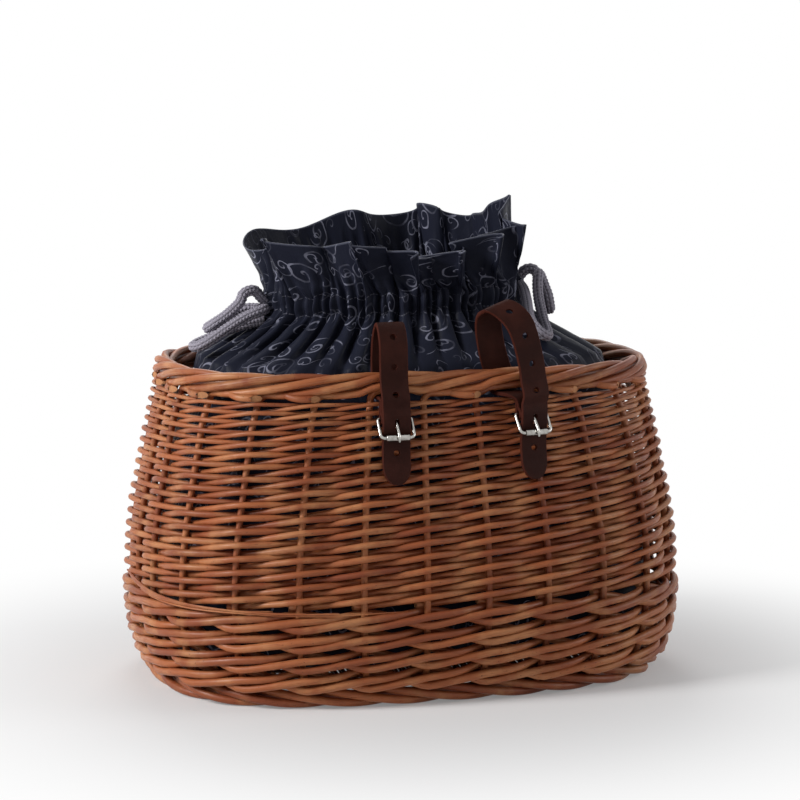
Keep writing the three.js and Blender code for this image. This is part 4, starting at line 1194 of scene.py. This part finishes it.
class MakeLiner(bpy.types.Operator):
    """The drawstring liner: bag, gathered neck with its cord channel, and ruffle"""
    bl_idname = "basket.liner"
    bl_label = "Liner"

    def execute(self, context):
        rng = np.random.default_rng(700)
        knots = cloth_levels()
        stops = (23.8, 32, 200, 222, CHANNEL_BOTTOM, CHANNEL_TOP)
        bands = zip(stops, stops[1:], (3, 6, 4, 23, 10))
        z = np.concatenate([
            *(np.linspace(low, high, count)[:-1] for low, high, count in bands),
            np.linspace(CHANNEL_TOP, RUFFLE_TOP, 24)])
        half_length = np.interp(z, knots[:, 0], knots[:, 1])
        half_depth = np.interp(z, knots[:, 0], knots[:, 2])
        columns = sizes().cloth_points
        s = np.arange(columns) / columns  # the way round, from the front's middle
        angle = angle_at(s * STAKE_COUNT - 0.5)
        # from 0 to 1 over the cone and over the ruffle
        cone = np.clip((z - BASKET_HEIGHT) / (CHANNEL_BOTTOM - BASKET_HEIGHT), -0.4, 1)
        ruffle = np.clip((z - CHANNEL_TOP) / (RUFFLE_TOP - CHANNEL_TOP), 0, 1)
        power = PLAN_POWER - 0.55 * np.clip(cone, 0, 1)
        front, left = np.clip(-np.sin(angle), 0, 1), np.clip(-np.cos(angle), 0, 1)
        right = np.clip(np.cos(angle), 0, 1)

        def uneven(size, *waves):
            """A seeded unevenness round the liner."""
            return sum(
                rng.normal(0, size) * np.sin(2 * math.pi * n * s + rng.uniform(0, 6.3))
                for n in waves)

        # Gathers: rounded tubes with creases between them, each split in two at the neck. They
        # crowd together on one side, where the second term of the phase rises.
        phase = 2 * math.pi * GATHERS * s + 9 * np.sin(2 * math.pi * (s - 0.85))
        phase = phase + uneven(0.5, 2, 3, 5, 7)
        size = 1 + uneven(0.22, 3, 4, 8, 11) + 0.3 * left - 0.3 * front**3
        tubes = (np.sqrt(np.cos(phase / 2) ** 2 + 0.008) - 0.6) * np.clip(size, 0.75, 1.5)
        halves = np.cos(phase + 0.8 + uneven(0.45, 9, 14, 21))
        halves = np.sqrt(halves**2 + 0.012) - 0.55
        tube_height = TUBE_HEIGHT * eased(cone, -0.4, 0.45) * (1 - 0.66 * eased(cone, 0.6, 1))
        tube_height = tube_height * (1 - ruffle)
        half_height = HALF_TUBE_HEIGHT * eased(cone, 0.4, 1) * (1 - ruffle) ** 1.5
        half_size = np.clip(1 + uneven(0.3, 5, 8, 13, 19), 0.65, 1.7)
        # low on the cone, the folds fade out towards the middle of the front
        low = 1 - eased(cone, 0.05, 0.65)
        calm = 1 - 0.75 * (front**2 * (1 - left))[None] * low[:, None]
        out = calm * tube_height[:, None] * tubes[None]
        out += half_height[:, None] * (halves * half_size)[None]
        out += (NECK_SWELL * eased(cone, 0.6, 1) * (1 - eased(ruffle, 0, 0.3)))[:, None]

        # broad folds of the ruffle, leaning over sideways at their tops
        broad = 2 * math.pi * BROAD_FOLDS * s + 6.5 * np.sin(2 * math.pi * (s - 0.1))
        broad = broad + uneven(0.4, 2, 3, 5)
        broad_size = 0.8 + 0.34 * np.cos(2 * math.pi * (s - 0.05)) + uneven(0.16, 2, 3, 6)
        broad_size = np.clip(broad_size, 0.3, 1.35)
        fold_height = sizes().ruffle_fold * 1000 * ruffle**0.7
        out += fold_height[:, None] * (np.sin(broad) * broad_size)[None]
        sideways = fold_height[:, None] * 0.5 * (np.sin(2 * broad + 0.5) * broad_size)[None]
        bulge = 2.4 * np.sin(math.pi * np.clip(cone, 0, 1))
        sideways += bulge[:, None] * np.sin(phase + 1)[None]
        # one fold flops forward at the front left, and the edge hangs lower in places
        flop = np.exp(-((((s + 0.53) % 1 - 0.5) / 0.04) ** 2))
        out += (9 * ruffle**3)[:, None] * flop[None]
        lower = (14 + 12 * np.cos(angle)) * front**0.7 + 12 * left**2 + 6 * flop - 9 * right**4
        lower += uneven(1.5, 2, 3, 4, 7)
        # the back's edge stands up in one broad wave and dips before the right end
        lower += 8 * np.exp(-(((angle + math.pi) % (2 * math.pi) - math.pi - 0.5) / 0.24) ** 2)
        waves = 1.6 * np.sin(broad + 0.9) + 0.5 * np.sin(2 * broad)
        lift = ruffle[:, None] * (waves - lower - 1.5)[None]

        # the gathered channel isn't level all round
        crumple = np.exp(-((z - CHANNEL_HEIGHT) / 16) ** 2)
        lift += crumple[:, None] * (uneven(1.1, 6, 9, 13) + 1.6 * np.sin(phase + 0.4))[None]
        swell = np.sin(2 * math.pi * z[:, None] / 17 + uneven(1.6, 7, 12, 18)[None])
        out += 0.8 * np.exp(-((z - CHANNEL_HEIGHT) / 26) ** 2)[:, None] * swell

        reach = plan_radius(angle[None], half_length[:, None], half_depth[:, None], power[:, None])
        tilt = np.clip((z - BASKET_HEIGHT) / (CHANNEL_HEIGHT - BASKET_HEIGHT), 0, 1)
        radial = np.stack([np.cos(angle), np.sin(angle), 0 * angle], -1)
        across = np.stack([-np.sin(angle), np.cos(angle), 0 * angle], -1)
        points = (reach + out)[..., None] * radial[None] + sideways[..., None] * across[None]
        points[..., 0] -= (RUFFLE_LEAN * ruffle)[:, None]
        points[..., 2] = z[:, None] + lift
        points[..., 2] += tilt[:, None] * CHANNEL_TILT * points[..., 0] / NECK_HALF_LENGTH

        stitched = (CHANNEL_BOTTOM, CHANNEL_TOP, RUFFLE_TOP - EDGE_SEAM)
        seams = sum(np.exp(-((z - level) / 0.7) ** 2) for level in stitched)
        v = path_lengths(np.stack([half_length, z, 0 * z], -1))
        pile = Pile()
        # the top row's tint marks the free edge for its painted highlight; seams marks the
        # stitches
        closed_cloth(pile, drawn_in(points), s, v, (z > RUFFLE_TOP - 0.6) * 1.0, seams)
        # the channel's inner layer, behind the drawcord
        rise = np.linspace(0, 1, 7)
        depth = (CHANNEL_THICKNESS - 1.5) * np.sin(math.pi * rise) ** 0.6
        ripple = 0.9 * halves[None] * np.sin(math.pi * rise)[:, None]
        reach = plan_radius(angle[None], NECK_HALF_LENGTH, NECK_HALF_DEPTH, power[-1])
        reach = reach - depth[:, None] + ripple - 0.2
        band = reach[..., None] * radial[None]
        band[..., 2] = CHANNEL_BOTTOM + (CHANNEL_TOP - CHANNEL_BOTTOM) * rise[:, None]
        band[..., 2] += CHANNEL_TILT * band[..., 0] / NECK_HALF_LENGTH
        closed_cloth(pile, drawn_in(band), s, 300 + 3 * np.arange(7), np.zeros(7), np.zeros(7))
        liner = pile.build("gathered_liner", [cloth()])
        place_piece(liner, "basket", "cloth", "liner")
        self.bottom_panel(*knots[0])
        return {"FINISHED"}

    @staticmethod
    def bottom_panel(z, half_length, half_depth):
        """The flat panel at the bottom of the bag: its underside, then its upper side."""
        angle = np.linspace(0, 2 * math.pi, 121)[:-1]
        shares = (0.02, 0.3, 0.6, 0.85, 1.0)
        rings = [(share, z + 0.1) for share in shares]
        rings += [(share, z + 0.9) for share in shares[::-1]]
        grid = np.array([
            ring_points(angle, plan_radius(angle, half_length * share, half_depth * share), height)
            for share, height in rings])
        pile = Pile()
        u, v = np.linspace(0, 900, 121), np.linspace(0, 300, len(grid) + 1)
        start = pile.add_grid(grid, u, v, close_u=True, tint=0)
        pile.close_ends(start, len(grid), len(angle))
        bottom = pile.build("liner_bottom_panel", [cloth()])
        place_piece(bottom, "basket", "cloth")


# Straps, with the same stations as the solids

STRAP_WIDTH = 20
HOLE_DIAMETER = 4.5
HOLE_SPACING = 20
HOLES_FROM_PRONG = (-4, -3, -2, -1, 1)
RIGHT_SHIFT = 12
RIGHT_YAW = math.radians(9)
RIGHT_LIFT = 1.5
BETWEEN_STAKES = 1.2  # how far the left strap sinks in between two stakes
WIRE_RADIUS = 1.2
BUCKLE_LENGTH = 15
BUCKLE_INSIDE = 21.6
BUCKLE_TILT = math.radians(35)
HEEL_HEIGHT = 201
ROLLER_DIAMETER = 4.6
ROLLER_LENGTH = 16.6
ROLLER_GAP = 0.3
PRONG_WIRE = 2.2
PRONG_GAP = 0.3
PRONG_PAST = 3
PRONG_ROOM = 0.6
PRONG_HOLE_BELOW = 3.4
PRONG_HOLE_LENGTH = 8
RIVET_FLANGE = 5.6
RIVET_BARREL = 3.6
RIVET_BORE = 2.3
RIVET_FLANGE_THICKNESS = 0.7
RIVET_GAP = 0.25
RIVET_ABOVE = 7.3
RIVET_HEIGHT = HEEL_HEIGHT + RIVET_ABOVE
HALF_STRAP = STRAP_THICKNESS / 2
FOLD_RADIUS = WIRE_RADIUS + STRAP_GAP + HALF_STRAP
SLOT_HEIGHT = RIM_BOTTOM - STRAP_GAP - HALF_STRAP
TAIL_TIP = 156
ARCH_TOP = 264.7
RIGHT_ARCH_MORE = 10
TONGUE_LENGTH = 13
BEVEL, CROWN = 0.55, 0.12  # of the strap's section
# The right loop's turn and lean to the left, at its stations over the rim
RIGHT_TILTS = [0.05, 0.2, 0.33, 0.38, 0.38, 0.38, 0.38, 0.38, 0.34, 0.2, 0.08, 0.02]
RIGHT_LEAN = [-2, -8, -13, -15, -13, -9, -4, 2, 3.2, 2.2, 0.8]


def stake_front(x, z):
    """How far forward the stakes' line is. It is straight between the heights where the
    solids' stakes bend."""
    heights = np.array([0, 18.5, 37, 100, 133, 166, 199, 232])
    inset = np.interp(z, heights, inset_at(heights)) + WALL_HALF
    return plan_edge(x, BASKET_LENGTH / 2 - inset, BASKET_DEPTH / 2 - inset)


def weave_depth(z):
    heights, widths = rand_places()
    above = np.nonzero(heights >= z)[0]
    return STAKE_RADIUS + WEAVE_GAP + widths[above[0] if len(above) else -1]


class StrapPlan:
    """The sizes of one strap that depend on where it hangs.

    Distances are counted forward from the basket's middle: of the fold's inner and outer
    layer, of the buckle's heel bar and of its toe bar."""

    def __init__(self, side):
        self.right = side > 0
        self.name = "right" if self.right else "left"
        self.slot_x = side * STRAP_CENTRE
        self.shift = RIGHT_SHIFT if self.right else 0
        self.front_x = self.slot_x + self.shift
        self.relief = -RIGHT_LIFT if self.right else BETWEEN_STAKES
        self.yaw = RIGHT_YAW if self.right else 0
        self.top = ARCH_TOP + (RIGHT_ARCH_MORE if self.right else 0)
        self.inner = self.weave_front(RIVET_HEIGHT) + STRAP_GAP + HALF_STRAP
        self.outer = self.inner + STRAP_THICKNESS + STRAP_GAP
        self.heel = self.inner + FOLD_RADIUS
        self.toe = self.heel + BUCKLE_LENGTH * math.sin(BUCKLE_TILT)
        self.toe_height = HEEL_HEIGHT - BUCKLE_LENGTH * math.cos(BUCKLE_TILT)

    def weave_front(self, z):
        return stake_front(self.front_x, z) + weave_depth(z) - self.relief

    def x_at(self, front, share):
        return self.slot_x + share * (self.shift + (front - self.heel) * math.tan(self.yaw))

    def stations(self):
        """Forward distance, height, and share of the sideways shift, from end to end."""
        rim_front = stake_front(self.slot_x, RIM_MIDDLE)
        back = rim_front - RIM_THICKNESS / 2 - 3 * STRAP_GAP - HALF_STRAP
        front = rim_front + RIM_THICKNESS / 2 + 4 * STRAP_GAP + HALF_STRAP
        middle = (back + front) / 2
        over_rivet = (self.outer + HALF_STRAP + RIVET_GAP + RIVET_FLANGE_THICKNESS + STRAP_GAP
                      + HALF_STRAP)
        over_heel = self.heel + FOLD_RADIUS + STRAP_THICKNESS + STRAP_GAP
        behind_roller = self.toe - ROLLER_DIAMETER / 2 - STRAP_GAP - HALF_STRAP
        toe = self.toe_height

        def on_weave(z):
            return self.weave_front(z) + STRAP_GAP + HALF_STRAP

        fold = [
            (self.heel + FOLD_RADIUS * math.cos(math.radians(a)),
             HEEL_HEIGHT + FOLD_RADIUS * math.sin(math.radians(a)), 1)
            for a in (180, 225, 270, 315, 360)]
        return [
            (self.inner, RIVET_HEIGHT + 3.6, 0.92), (self.inner, HEEL_HEIGHT + 5, 1),
            *fold,
            (self.outer + 1.85, HEEL_HEIGHT + 2.25, 1), (self.outer + 0.2, HEEL_HEIGHT + 4, 1),
            (self.outer, HEEL_HEIGHT + 5.4, 0.98), (self.outer, RIVET_HEIGHT + 2.7, 0.85),
            (self.outer - 1.4, SLOT_HEIGHT - 1, 0.55), (self.outer - 4.6, SLOT_HEIGHT, 0.25),
            (rim_front + 3, SLOT_HEIGHT, 0), (rim_front - 5, SLOT_HEIGHT, 0),
            (back + 1, SLOT_HEIGHT + 0.9, 0), (back, SLOT_HEIGHT + 3.4, 0),
            (back, RIM_MIDDLE, 0), (back - 0.5, BASKET_HEIGHT + 9, 0.05),
            (back + 1.6, self.top - 11, 0.15), (back + 6.6, self.top - 2.6, 0.35),
            (middle, self.top, 0.5), (front - 6, self.top - 3, 0.7),
            (front - 1.2, self.top - 12, 0.85), (front, BASKET_HEIGHT + 7, 0.95),
            (front + 1.4, RIM_MIDDLE, 1), (over_rivet - 0.6, SLOT_HEIGHT, 1),
            (over_rivet, RIVET_HEIGHT, 1), (over_heel, HEEL_HEIGHT + 1.5, 1),
            ((over_heel + behind_roller) / 2 + 0.3, HEEL_HEIGHT - 5, 1),
            (behind_roller, toe + 0.5, 1),
            (max(behind_roller - 0.3, on_weave(toe - 9)), toe - 9, 1),
            (on_weave(toe - 19) + 0.3, toe - 19, 1), (on_weave(TAIL_TIP) + 0.3, TAIL_TIP, 1)]

    def course(self, per_span=8):
        """The strap's centre line. The right loop leans to the left above the rim."""
        stations = self.stations()
        lean = np.zeros(len(stations))
        if self.right:
            lean[17:28] = RIGHT_LEAN
        points = [
            (self.x_at(front, share) + shift, -front, z)
            for (front, z, share), shift in zip(stations, lean)]
        return smooth_through(points, per_span)

    def directions(self, path):
        """Along the strap, across it and out of its face, at each point of its course."""
        along = unit(np.gradient(path, axis=0))
        shifted = np.clip((path[:, 0] - self.slot_x) / (self.shift or 1), 0, 1)
        yaw = self.yaw * shifted
        tilts = np.zeros(33)
        if self.right:
            tilts[16:28] = RIGHT_TILTS
        place = np.linspace(0, len(self.stations()) - 1, len(path))
        tilt = np.interp(place, np.arange(33), tilts)
        across = np.stack(
            [np.cos(yaw) * np.cos(tilt), np.sin(yaw) * np.cos(tilt), np.sin(tilt)], -1)
        return along, across, unit(np.cross(along, across))

    def rivet_place(self):
        front = (self.inner + self.outer) / 2
        return np.array([self.x_at(front, 0.96), -front, RIVET_HEIGHT])

    def buckle_matrix(self):
        to_toe = Vector((0, -math.sin(BUCKLE_TILT), -math.cos(BUCKLE_TILT)))
        outwards = Vector((0, -math.cos(BUCKLE_TILT), math.sin(BUCKLE_TILT)))
        lying = Matrix((Vector((-1, 0, 0)), to_toe, outwards)).transposed().to_4x4()
        place = Matrix.Translation((self.front_x, -self.heel, HEEL_HEIGHT))
        return place @ Matrix.Rotation(self.yaw, 4, "Z") @ lying


def punch_tube(centre, along, across, out, half_across, half_along, depth, sides=20):
    """A rounded punch, as its own object. Its outline is a stretched ring."""
    corner = min(half_across, half_along)
    ring = []
    for turn in range(sides):
        c, s = math.cos(2 * math.pi * turn / sides), math.sin(2 * math.pi * turn / sides)
        a = corner * c + math.copysign(half_across - corner, c)
        b = corner * s + math.copysign(half_along - corner, s)
        ring.append(a * across + b * along)
    ring = np.array(ring)
    pile = Pile()
    rings = np.array([centre + ring - depth * out, centre + ring + depth * out])
    start = pile.add_grid(rings, [0] * (sides + 1), [0, 0], close_u=True, slot=1)
    pile.close_ends(start, 2, sides, 1)
    punch = pile.build("punch", [leather(), leather_edge()])
    face_out(punch)
    return punch


def cut_away(made, cutter):
    """Cuts one piece out of another and keeps the plain mesh."""
    modifier = made.modifiers.new("cut", "BOOLEAN")
    modifier.operation, modifier.solver, modifier.object = "DIFFERENCE", "EXACT", cutter
    bpy.context.view_layer.update()
    ready = made.evaluated_get(bpy.context.evaluated_depsgraph_get())
    mesh = bpy.data.meshes.new_from_object(ready)
    made.modifiers.clear()
    made.data = mesh
    bpy.data.objects.remove(cutter)


def length_down_to(path, z):
    """Length along the strap at which its last, outer run comes down to a height."""
    lengths = path_lengths(path)
    start = int(len(path) * 0.6)
    i = int(np.argmax(path[start:, 2] < z)) + start
    share = (path[i - 1, 2] - z) / (path[i - 1, 2] - path[i, 2])
    return lengths[i - 1] + share * (lengths[i] - lengths[i - 1])


def strap_section(half):
    """The strap's outline across: its face with bevelled edges and a slight crown."""
    t = HALF_STRAP
    return [
        (half - BEVEL, t), (half * 0.5, t + CROWN), (0, t + CROWN * 1.3),
        (-half * 0.5, t + CROWN), (-half + BEVEL, t), (-half, t - BEVEL), (-half, -t + BEVEL),
        (-half + BEVEL, -t), (0, -t), (half - BEVEL, -t), (half, -t + BEVEL), (half, t - BEVEL)]


class MakeStraps(bpy.types.Operator):
    """The two leather straps, punched and looped over the rim"""
    bl_idname = "basket.straps"
    bl_label = "Straps"

    def execute(self, context):
        for plan in (StrapPlan(-1), StrapPlan(1)):
            path = plan.course()
            along, across, out = plan.directions(path)
            lengths = path_lengths(path)
            strap = self.folded(plan, path, across, out, lengths)
            prong_at = length_down_to(path, HEEL_HEIGHT - PRONG_HOLE_BELOW)
            slot_half = PRONG_WIRE / 2 + PRONG_ROOM
            hole = HOLE_DIAMETER / 2
            punches = [(prong_at, slot_half, PRONG_HOLE_LENGTH / 2)]
            punches += [(prong_at + n * HOLE_SPACING, hole, hole) for n in HOLES_FROM_PRONG]
            for length, half_across, half_along in punches:
                i = int(np.argmin(np.abs(lengths - length)))
                centre = np.array([np.interp(length, lengths, path[:, n]) for n in range(3)])
                cut_away(strap, punch_tube(
                    centre, along[i], across[i], out[i], half_across, half_along,
                    STRAP_THICKNESS))
            turned = np.array([math.cos(plan.yaw), math.sin(plan.yaw), 0])
            forward = np.array([math.sin(plan.yaw), -math.cos(plan.yaw), 0])
            upward = np.array([0, 0, 1.0])
            # room for the prong's eye, in the fold round the heel bar
            heel = np.array([plan.front_x, -plan.heel, HEEL_HEIGHT])
            reach = FOLD_RADIUS + HALF_STRAP + 0.5
            cut_away(strap, punch_tube(
                heel, upward, forward, turned, reach, reach, slot_half, 32))
            barrel = RIVET_BARREL / 2 + RIVET_GAP * 0.4
            cut_away(strap, punch_tube(
                plan.rivet_place(), upward, turned, forward, barrel, barrel,
                STRAP_THICKNESS * 1.4))
            strap.data.set_sharp_from_angle(angle=math.radians(38))
            place_piece(strap, "basket", "leather", f"strap_{plan.name}")
        return {"FINISHED"}

    @staticmethod
    def folded(plan, path, across, out, lengths):
        """The whole strap, narrowing to a tongue at its tail, before it is punched."""
        narrow = np.clip(1 - (lengths[-1] - lengths) / TONGUE_LENGTH, 0, 1)
        half = STRAP_WIDTH / 2 * np.sqrt(1 - 0.93 * narrow**2)
        rings = np.array([
            [point + a * across[i] + b * out[i] for a, b in strap_section(half[i])]
            for i, point in enumerate(path)])
        sides = rings.shape[1]
        slots = [1 if j in (4, 5, 6, 9, 10, 11) else 0 for j in range(sides)]
        pile = Pile()
        start = pile.add_grid(rings, range(sides + 1), lengths, close_u=True, slot=slots)
        pile.close_ends(start, len(path), sides, 1)
        strap = pile.build(f"leather_strap_{plan.name}", [leather(), leather_edge()])
        face_out(strap)
        return strap


def turned_solid(pile, profile, sides, axis):
    """A ring made by turning a closed profile of (radius, place) about an axis."""
    first, second, third = {"x": (1, 2, 0), "y": (2, 0, 1)}[axis]
    rings = np.zeros((sides, len(profile), 3))
    for i in range(sides):
        angle = 2 * math.pi * i / sides
        for j, (radius, place) in enumerate(profile):
            rings[i, j, first] = radius * math.cos(angle)
            rings[i, j, second] = radius * math.sin(angle)
            rings[i, j, third] = place
    u, v = np.linspace(0, 10, len(profile) + 1), np.linspace(0, 20, sides + 1)
    pile.add_grid(rings, u, v, close_u=True, close_v=True)


class MakeBuckles(bpy.types.Operator):
    """The two roller buckles: frame, roller and prong, each on its own body"""
    bl_idname = "basket.buckles"
    bl_label = "Buckles"

    def execute(self, context):
        for plan in (StrapPlan(-1), StrapPlan(1)):
            lying = plan.buckle_matrix()
            for part, make, body in (
                    ("frame", self.frame_wire, "basket"),
                    ("roller", self.roller_tube, f"roller_{plan.name}"),
                    ("prong", self.prong_wire, f"prong_{plan.name}")):
                pile = Pile()
                make(pile)
                pile.points = [
                    np.array([lying @ Vector(p) for p in points]) for points in pile.points]
                place_nickel(pile, f"nickel_buckle_{part}_{plan.name}", body,
                             f"buckle_{part}_{plan.name}")
        return {"FINISHED"}

    @staticmethod
    def frame_wire(pile):
        half = BUCKLE_INSIDE / 2 + WIRE_RADIUS
        toe, heel = 3.0, 1.5  # how round the corners are
        corners = [
            (half - toe, BUCKLE_LENGTH - toe, toe, 0), (-half + toe, BUCKLE_LENGTH - toe, toe, 90),
            (-half + heel, heel, heel, 180), (half - heel, heel, heel, 270)]
        points = []
        for x, y, radius, start in corners:
            for turn in range(0, 91, 10):
                angle = math.radians(start + turn)
                points.append((x + radius * math.cos(angle), y + radius * math.sin(angle), 0))
        pile.tube(np.array(points), WIRE_RADIUS, 14, np.array([0, 0, 1.0]), loop=True)

    @staticmethod
    def roller_tube(pile):
        bore = WIRE_RADIUS + ROLLER_GAP
        outer, half = ROLLER_DIAMETER / 2, ROLLER_LENGTH / 2
        profile = [(bore, -half), (outer - 0.3, -half), (outer, -half + 0.35),
                   (outer, half - 0.35), (outer - 0.3, half), (bore, half)]
        turned_solid(pile, profile, 28, "x")
        pile.points[-1] = pile.points[-1] + (0, BUCKLE_LENGTH, 0)

    @staticmethod
    def prong_wire(pile):
        """An eye round the heel bar, and a wire that runs over the strap onto the roller."""
        radius = PRONG_WIRE / 2
        eye = WIRE_RADIUS + PRONG_GAP + radius
        over = ROLLER_DIAMETER / 2 + PRONG_GAP + radius
        points = [
            (0, -eye * math.sin(math.radians(a)), eye * math.cos(math.radians(a)))
            for a in range(245, -1, -12)]
        run = smooth_through([
            (0, 0, eye), (0, BUCKLE_LENGTH / 2, (eye + over) / 2 - 0.1),
            (0, BUCKLE_LENGTH, over + 0.05), (0, BUCKLE_LENGTH + PRONG_PAST * 0.6, over - 0.5),
            (0, BUCKLE_LENGTH + PRONG_PAST + 1.3, over - 2)], 6)
        path = np.array([*points, *run[1:]])
        radii = np.full(len(path), radius)
        radii[-5:] = radius * np.array([0.98, 0.94, 0.88, 0.78, 0.6])
        pile.tube(path, radii, 12, np.array([1.0, 0, 0]))


class MakeRivets(bpy.types.Operator):
    """The hollow rivet that closes the fold of each strap"""
    bl_idname = "basket.rivets"
    bl_label = "Rivets"

    def execute(self, context):
        for plan in (StrapPlan(-1), StrapPlan(1)):
            half = ((plan.outer - plan.inner) / 2 + HALF_STRAP + RIVET_GAP
                    + RIVET_FLANGE_THICKNESS)
            shoulder = half - RIVET_FLANGE_THICKNESS
            bore, barrel, flange = RIVET_BORE / 2, RIVET_BARREL / 2, RIVET_FLANGE / 2
            outside = [
                (bore, half - 0.2), (bore + 0.25, half), (flange - 0.5, half),
                (flange, half - 0.4), (flange, shoulder), (barrel, shoulder)]
            profile = [(radius, -place) for radius, place in outside] + outside[::-1]
            pile = Pile()
            turned_solid(pile, profile, 28, "y")
            spin = Matrix.Rotation(plan.yaw, 3, "Z")
            points = np.array([spin @ Vector(p) for p in pile.points[-1]])
            pile.points[-1] = points + plan.rivet_place()
            place_nickel(pile, f"nickel_rivet_{plan.name}", "basket", f"rivet_{plan.name}")
        return {"FINISHED"}


# Stage


class MakeStage(bpy.types.Operator):
    """Camera, lamps, white surroundings and the floor"""
    bl_idname = "basket.stage"
    bl_label = "Stage"

    def execute(self, context):
        scene = context.scene
        scene.view_settings.view_transform = "Standard"
        data = bpy.data.cameras.new("camera")
        data.lens = sizes().camera_lens
        data.sensor_width = 36
        data.clip_start, data.clip_end = 0.05, 50
        back = Vector(VIEW_FROM).normalized()
        place = Vector(VIEW_MIDDLE) + back * sizes().camera_distance
        scene.camera = self.aimed("camera", data, place, -back)
        self.surround(scene)
        self.lamp("key_lamp", (-2.5, -0.42, 1.45), 1.0, 70)
        self.lamp("fill_lamp", (2.4, -0.9, 1.1), 1.4, 17)
        self.lamp("back_lamp", (0.4, 2.3, 2.3), 1.5, 24)
        self.floor()
        return {"FINISHED"}

    @staticmethod
    def aimed(name, data, place, direction):
        """A camera or lamp at a place, looking in a direction."""
        made = bpy.data.objects.new(name, data)
        bpy.context.scene.collection.objects.link(made)
        made.location = place
        made.rotation_mode = "QUATERNION"
        made.rotation_quaternion = direction.to_track_quat("-Z", "Y")
        return made

    def lamp(self, name, place, size, power):
        data = bpy.data.lights.new(name, "AREA")
        data.shape, data.size, data.energy = "DISK", size, power
        self.aimed(name, data, place, Vector(LAMPS_AIM) - Vector(place))

    @staticmethod
    def white_to_camera(tree):
        """1 where a ray comes from the camera, a mirror or clear glass."""
        rays = add_node(tree, "ShaderNodeLightPath")
        seen = maths(tree, "MAXIMUM", rays.outputs["Is Camera Ray"], rays.outputs["Is Glossy Ray"])
        return maths(tree, "MAXIMUM", seen, rays.outputs["Is Transmission Ray"])

    def surround(self, scene):
        world = bpy.data.worlds.new("studio")
        scene.world = world
        world.use_nodes = True
        tree = world.node_tree
        tree.nodes.clear()
        plain, white = (
            add_node(tree, "ShaderNodeBackground", {"Color": colour, "Strength": strength})
            for colour, strength in (((0.9, 0.93, 1, 1), 0.13), ((1, 1, 1, 1), 1.0)))
        mix = add_node(tree, "ShaderNodeMixShader", {
            0: self.white_to_camera(tree), 1: plain.outputs[0], 2: white.outputs[0]})
        out = add_node(tree, "ShaderNodeOutputWorld")
        tree.links.new(mix.outputs[0], out.inputs["Surface"])

    def floor(self):
        """A round floor that fades to white away from the basket."""
        sides, below = 96, -0.2
        angle = np.linspace(0, 2 * math.pi, sides + 1)[:-1]
        rings = np.array([
            ring_points(angle, reach, below) for reach in (60, 300, 700, 1500, 3200, 6000)])
        pile = Pile()
        u, v = np.linspace(0, 1000, sides + 1), np.linspace(0, 6000, len(rings) + 1)
        pile.add_grid(rings, u, v, close_u=True)
        pile.add_face(range(sides), [(0, 0)] * sides)
        material, tree, shader = new_material("pale_floor")
        feed(tree, shader, roughness=0.9, colour=(*colours().floor, 1))
        glow = add_node(tree, "ShaderNodeEmission", {"Color": (1, 1, 1, 1), "Strength": 1.0})
        place = object_place(tree)
        far = add_node(tree, "ShaderNodeVectorMath", {0: place}, operation="LENGTH")
        share = between(tree, far.outputs["Value"], 0.15, 0.5, 0.2, 1.0)
        share = times(tree, share, self.white_to_camera(tree))
        mix = add_node(
            tree, "ShaderNodeMixShader", {0: share, 1: shader.outputs[0], 2: glow.outputs[0]})
        tree.links.new(mix.outputs[0], tree.nodes["Material Output"].inputs["Surface"])
        pile.build("studio_floor", [material])


class BasketPanel(bpy.types.Panel):
    """Makes the basket's pieces one group at a time"""
    bl_idname = "VIEW3D_PT_basket"
    bl_label = "Wicker bicycle basket"
    bl_space_type = "VIEW_3D"
    bl_region_type = "UI"
    bl_category = "Basket"

    def draw(self, context):
        for operator in OPERATORS:
            self.layout.operator(operator.bl_idname)
        for group in (context.scene.basket_sizes, context.scene.basket_colours):
            column = self.layout.column()
            for name in group.bl_rna.properties.keys():
                if name not in ("rna_type", "name"):
                    column.prop(group, name)


OPERATORS = (
    MakeStage, MakeCords, MakeRand, MakeWale, MakeStakes, MakeFoot, MakeBase, MakeLiner,
    MakeStraps, MakeBuckles, MakeRivets,
)
CLASSES = (BasketColours, BasketSizes, *OPERATORS, BasketPanel)


def register():
    for each in CLASSES:
        bpy.utils.register_class(each)
    bpy.types.Scene.basket_colours = bpy.props.PointerProperty(type=BasketColours)
    bpy.types.Scene.basket_sizes = bpy.props.PointerProperty(type=BasketSizes)


def unregister():
    del bpy.types.Scene.basket_sizes
    del bpy.types.Scene.basket_colours
    for each in reversed(CLASSES):
        bpy.utils.unregister_class(each)


def main():
    register()
    for operator in OPERATORS:
        group, name = operator.bl_idname.split(".")
        getattr(getattr(bpy.ops, group), name)()


if __name__ == "__main__":
    main()
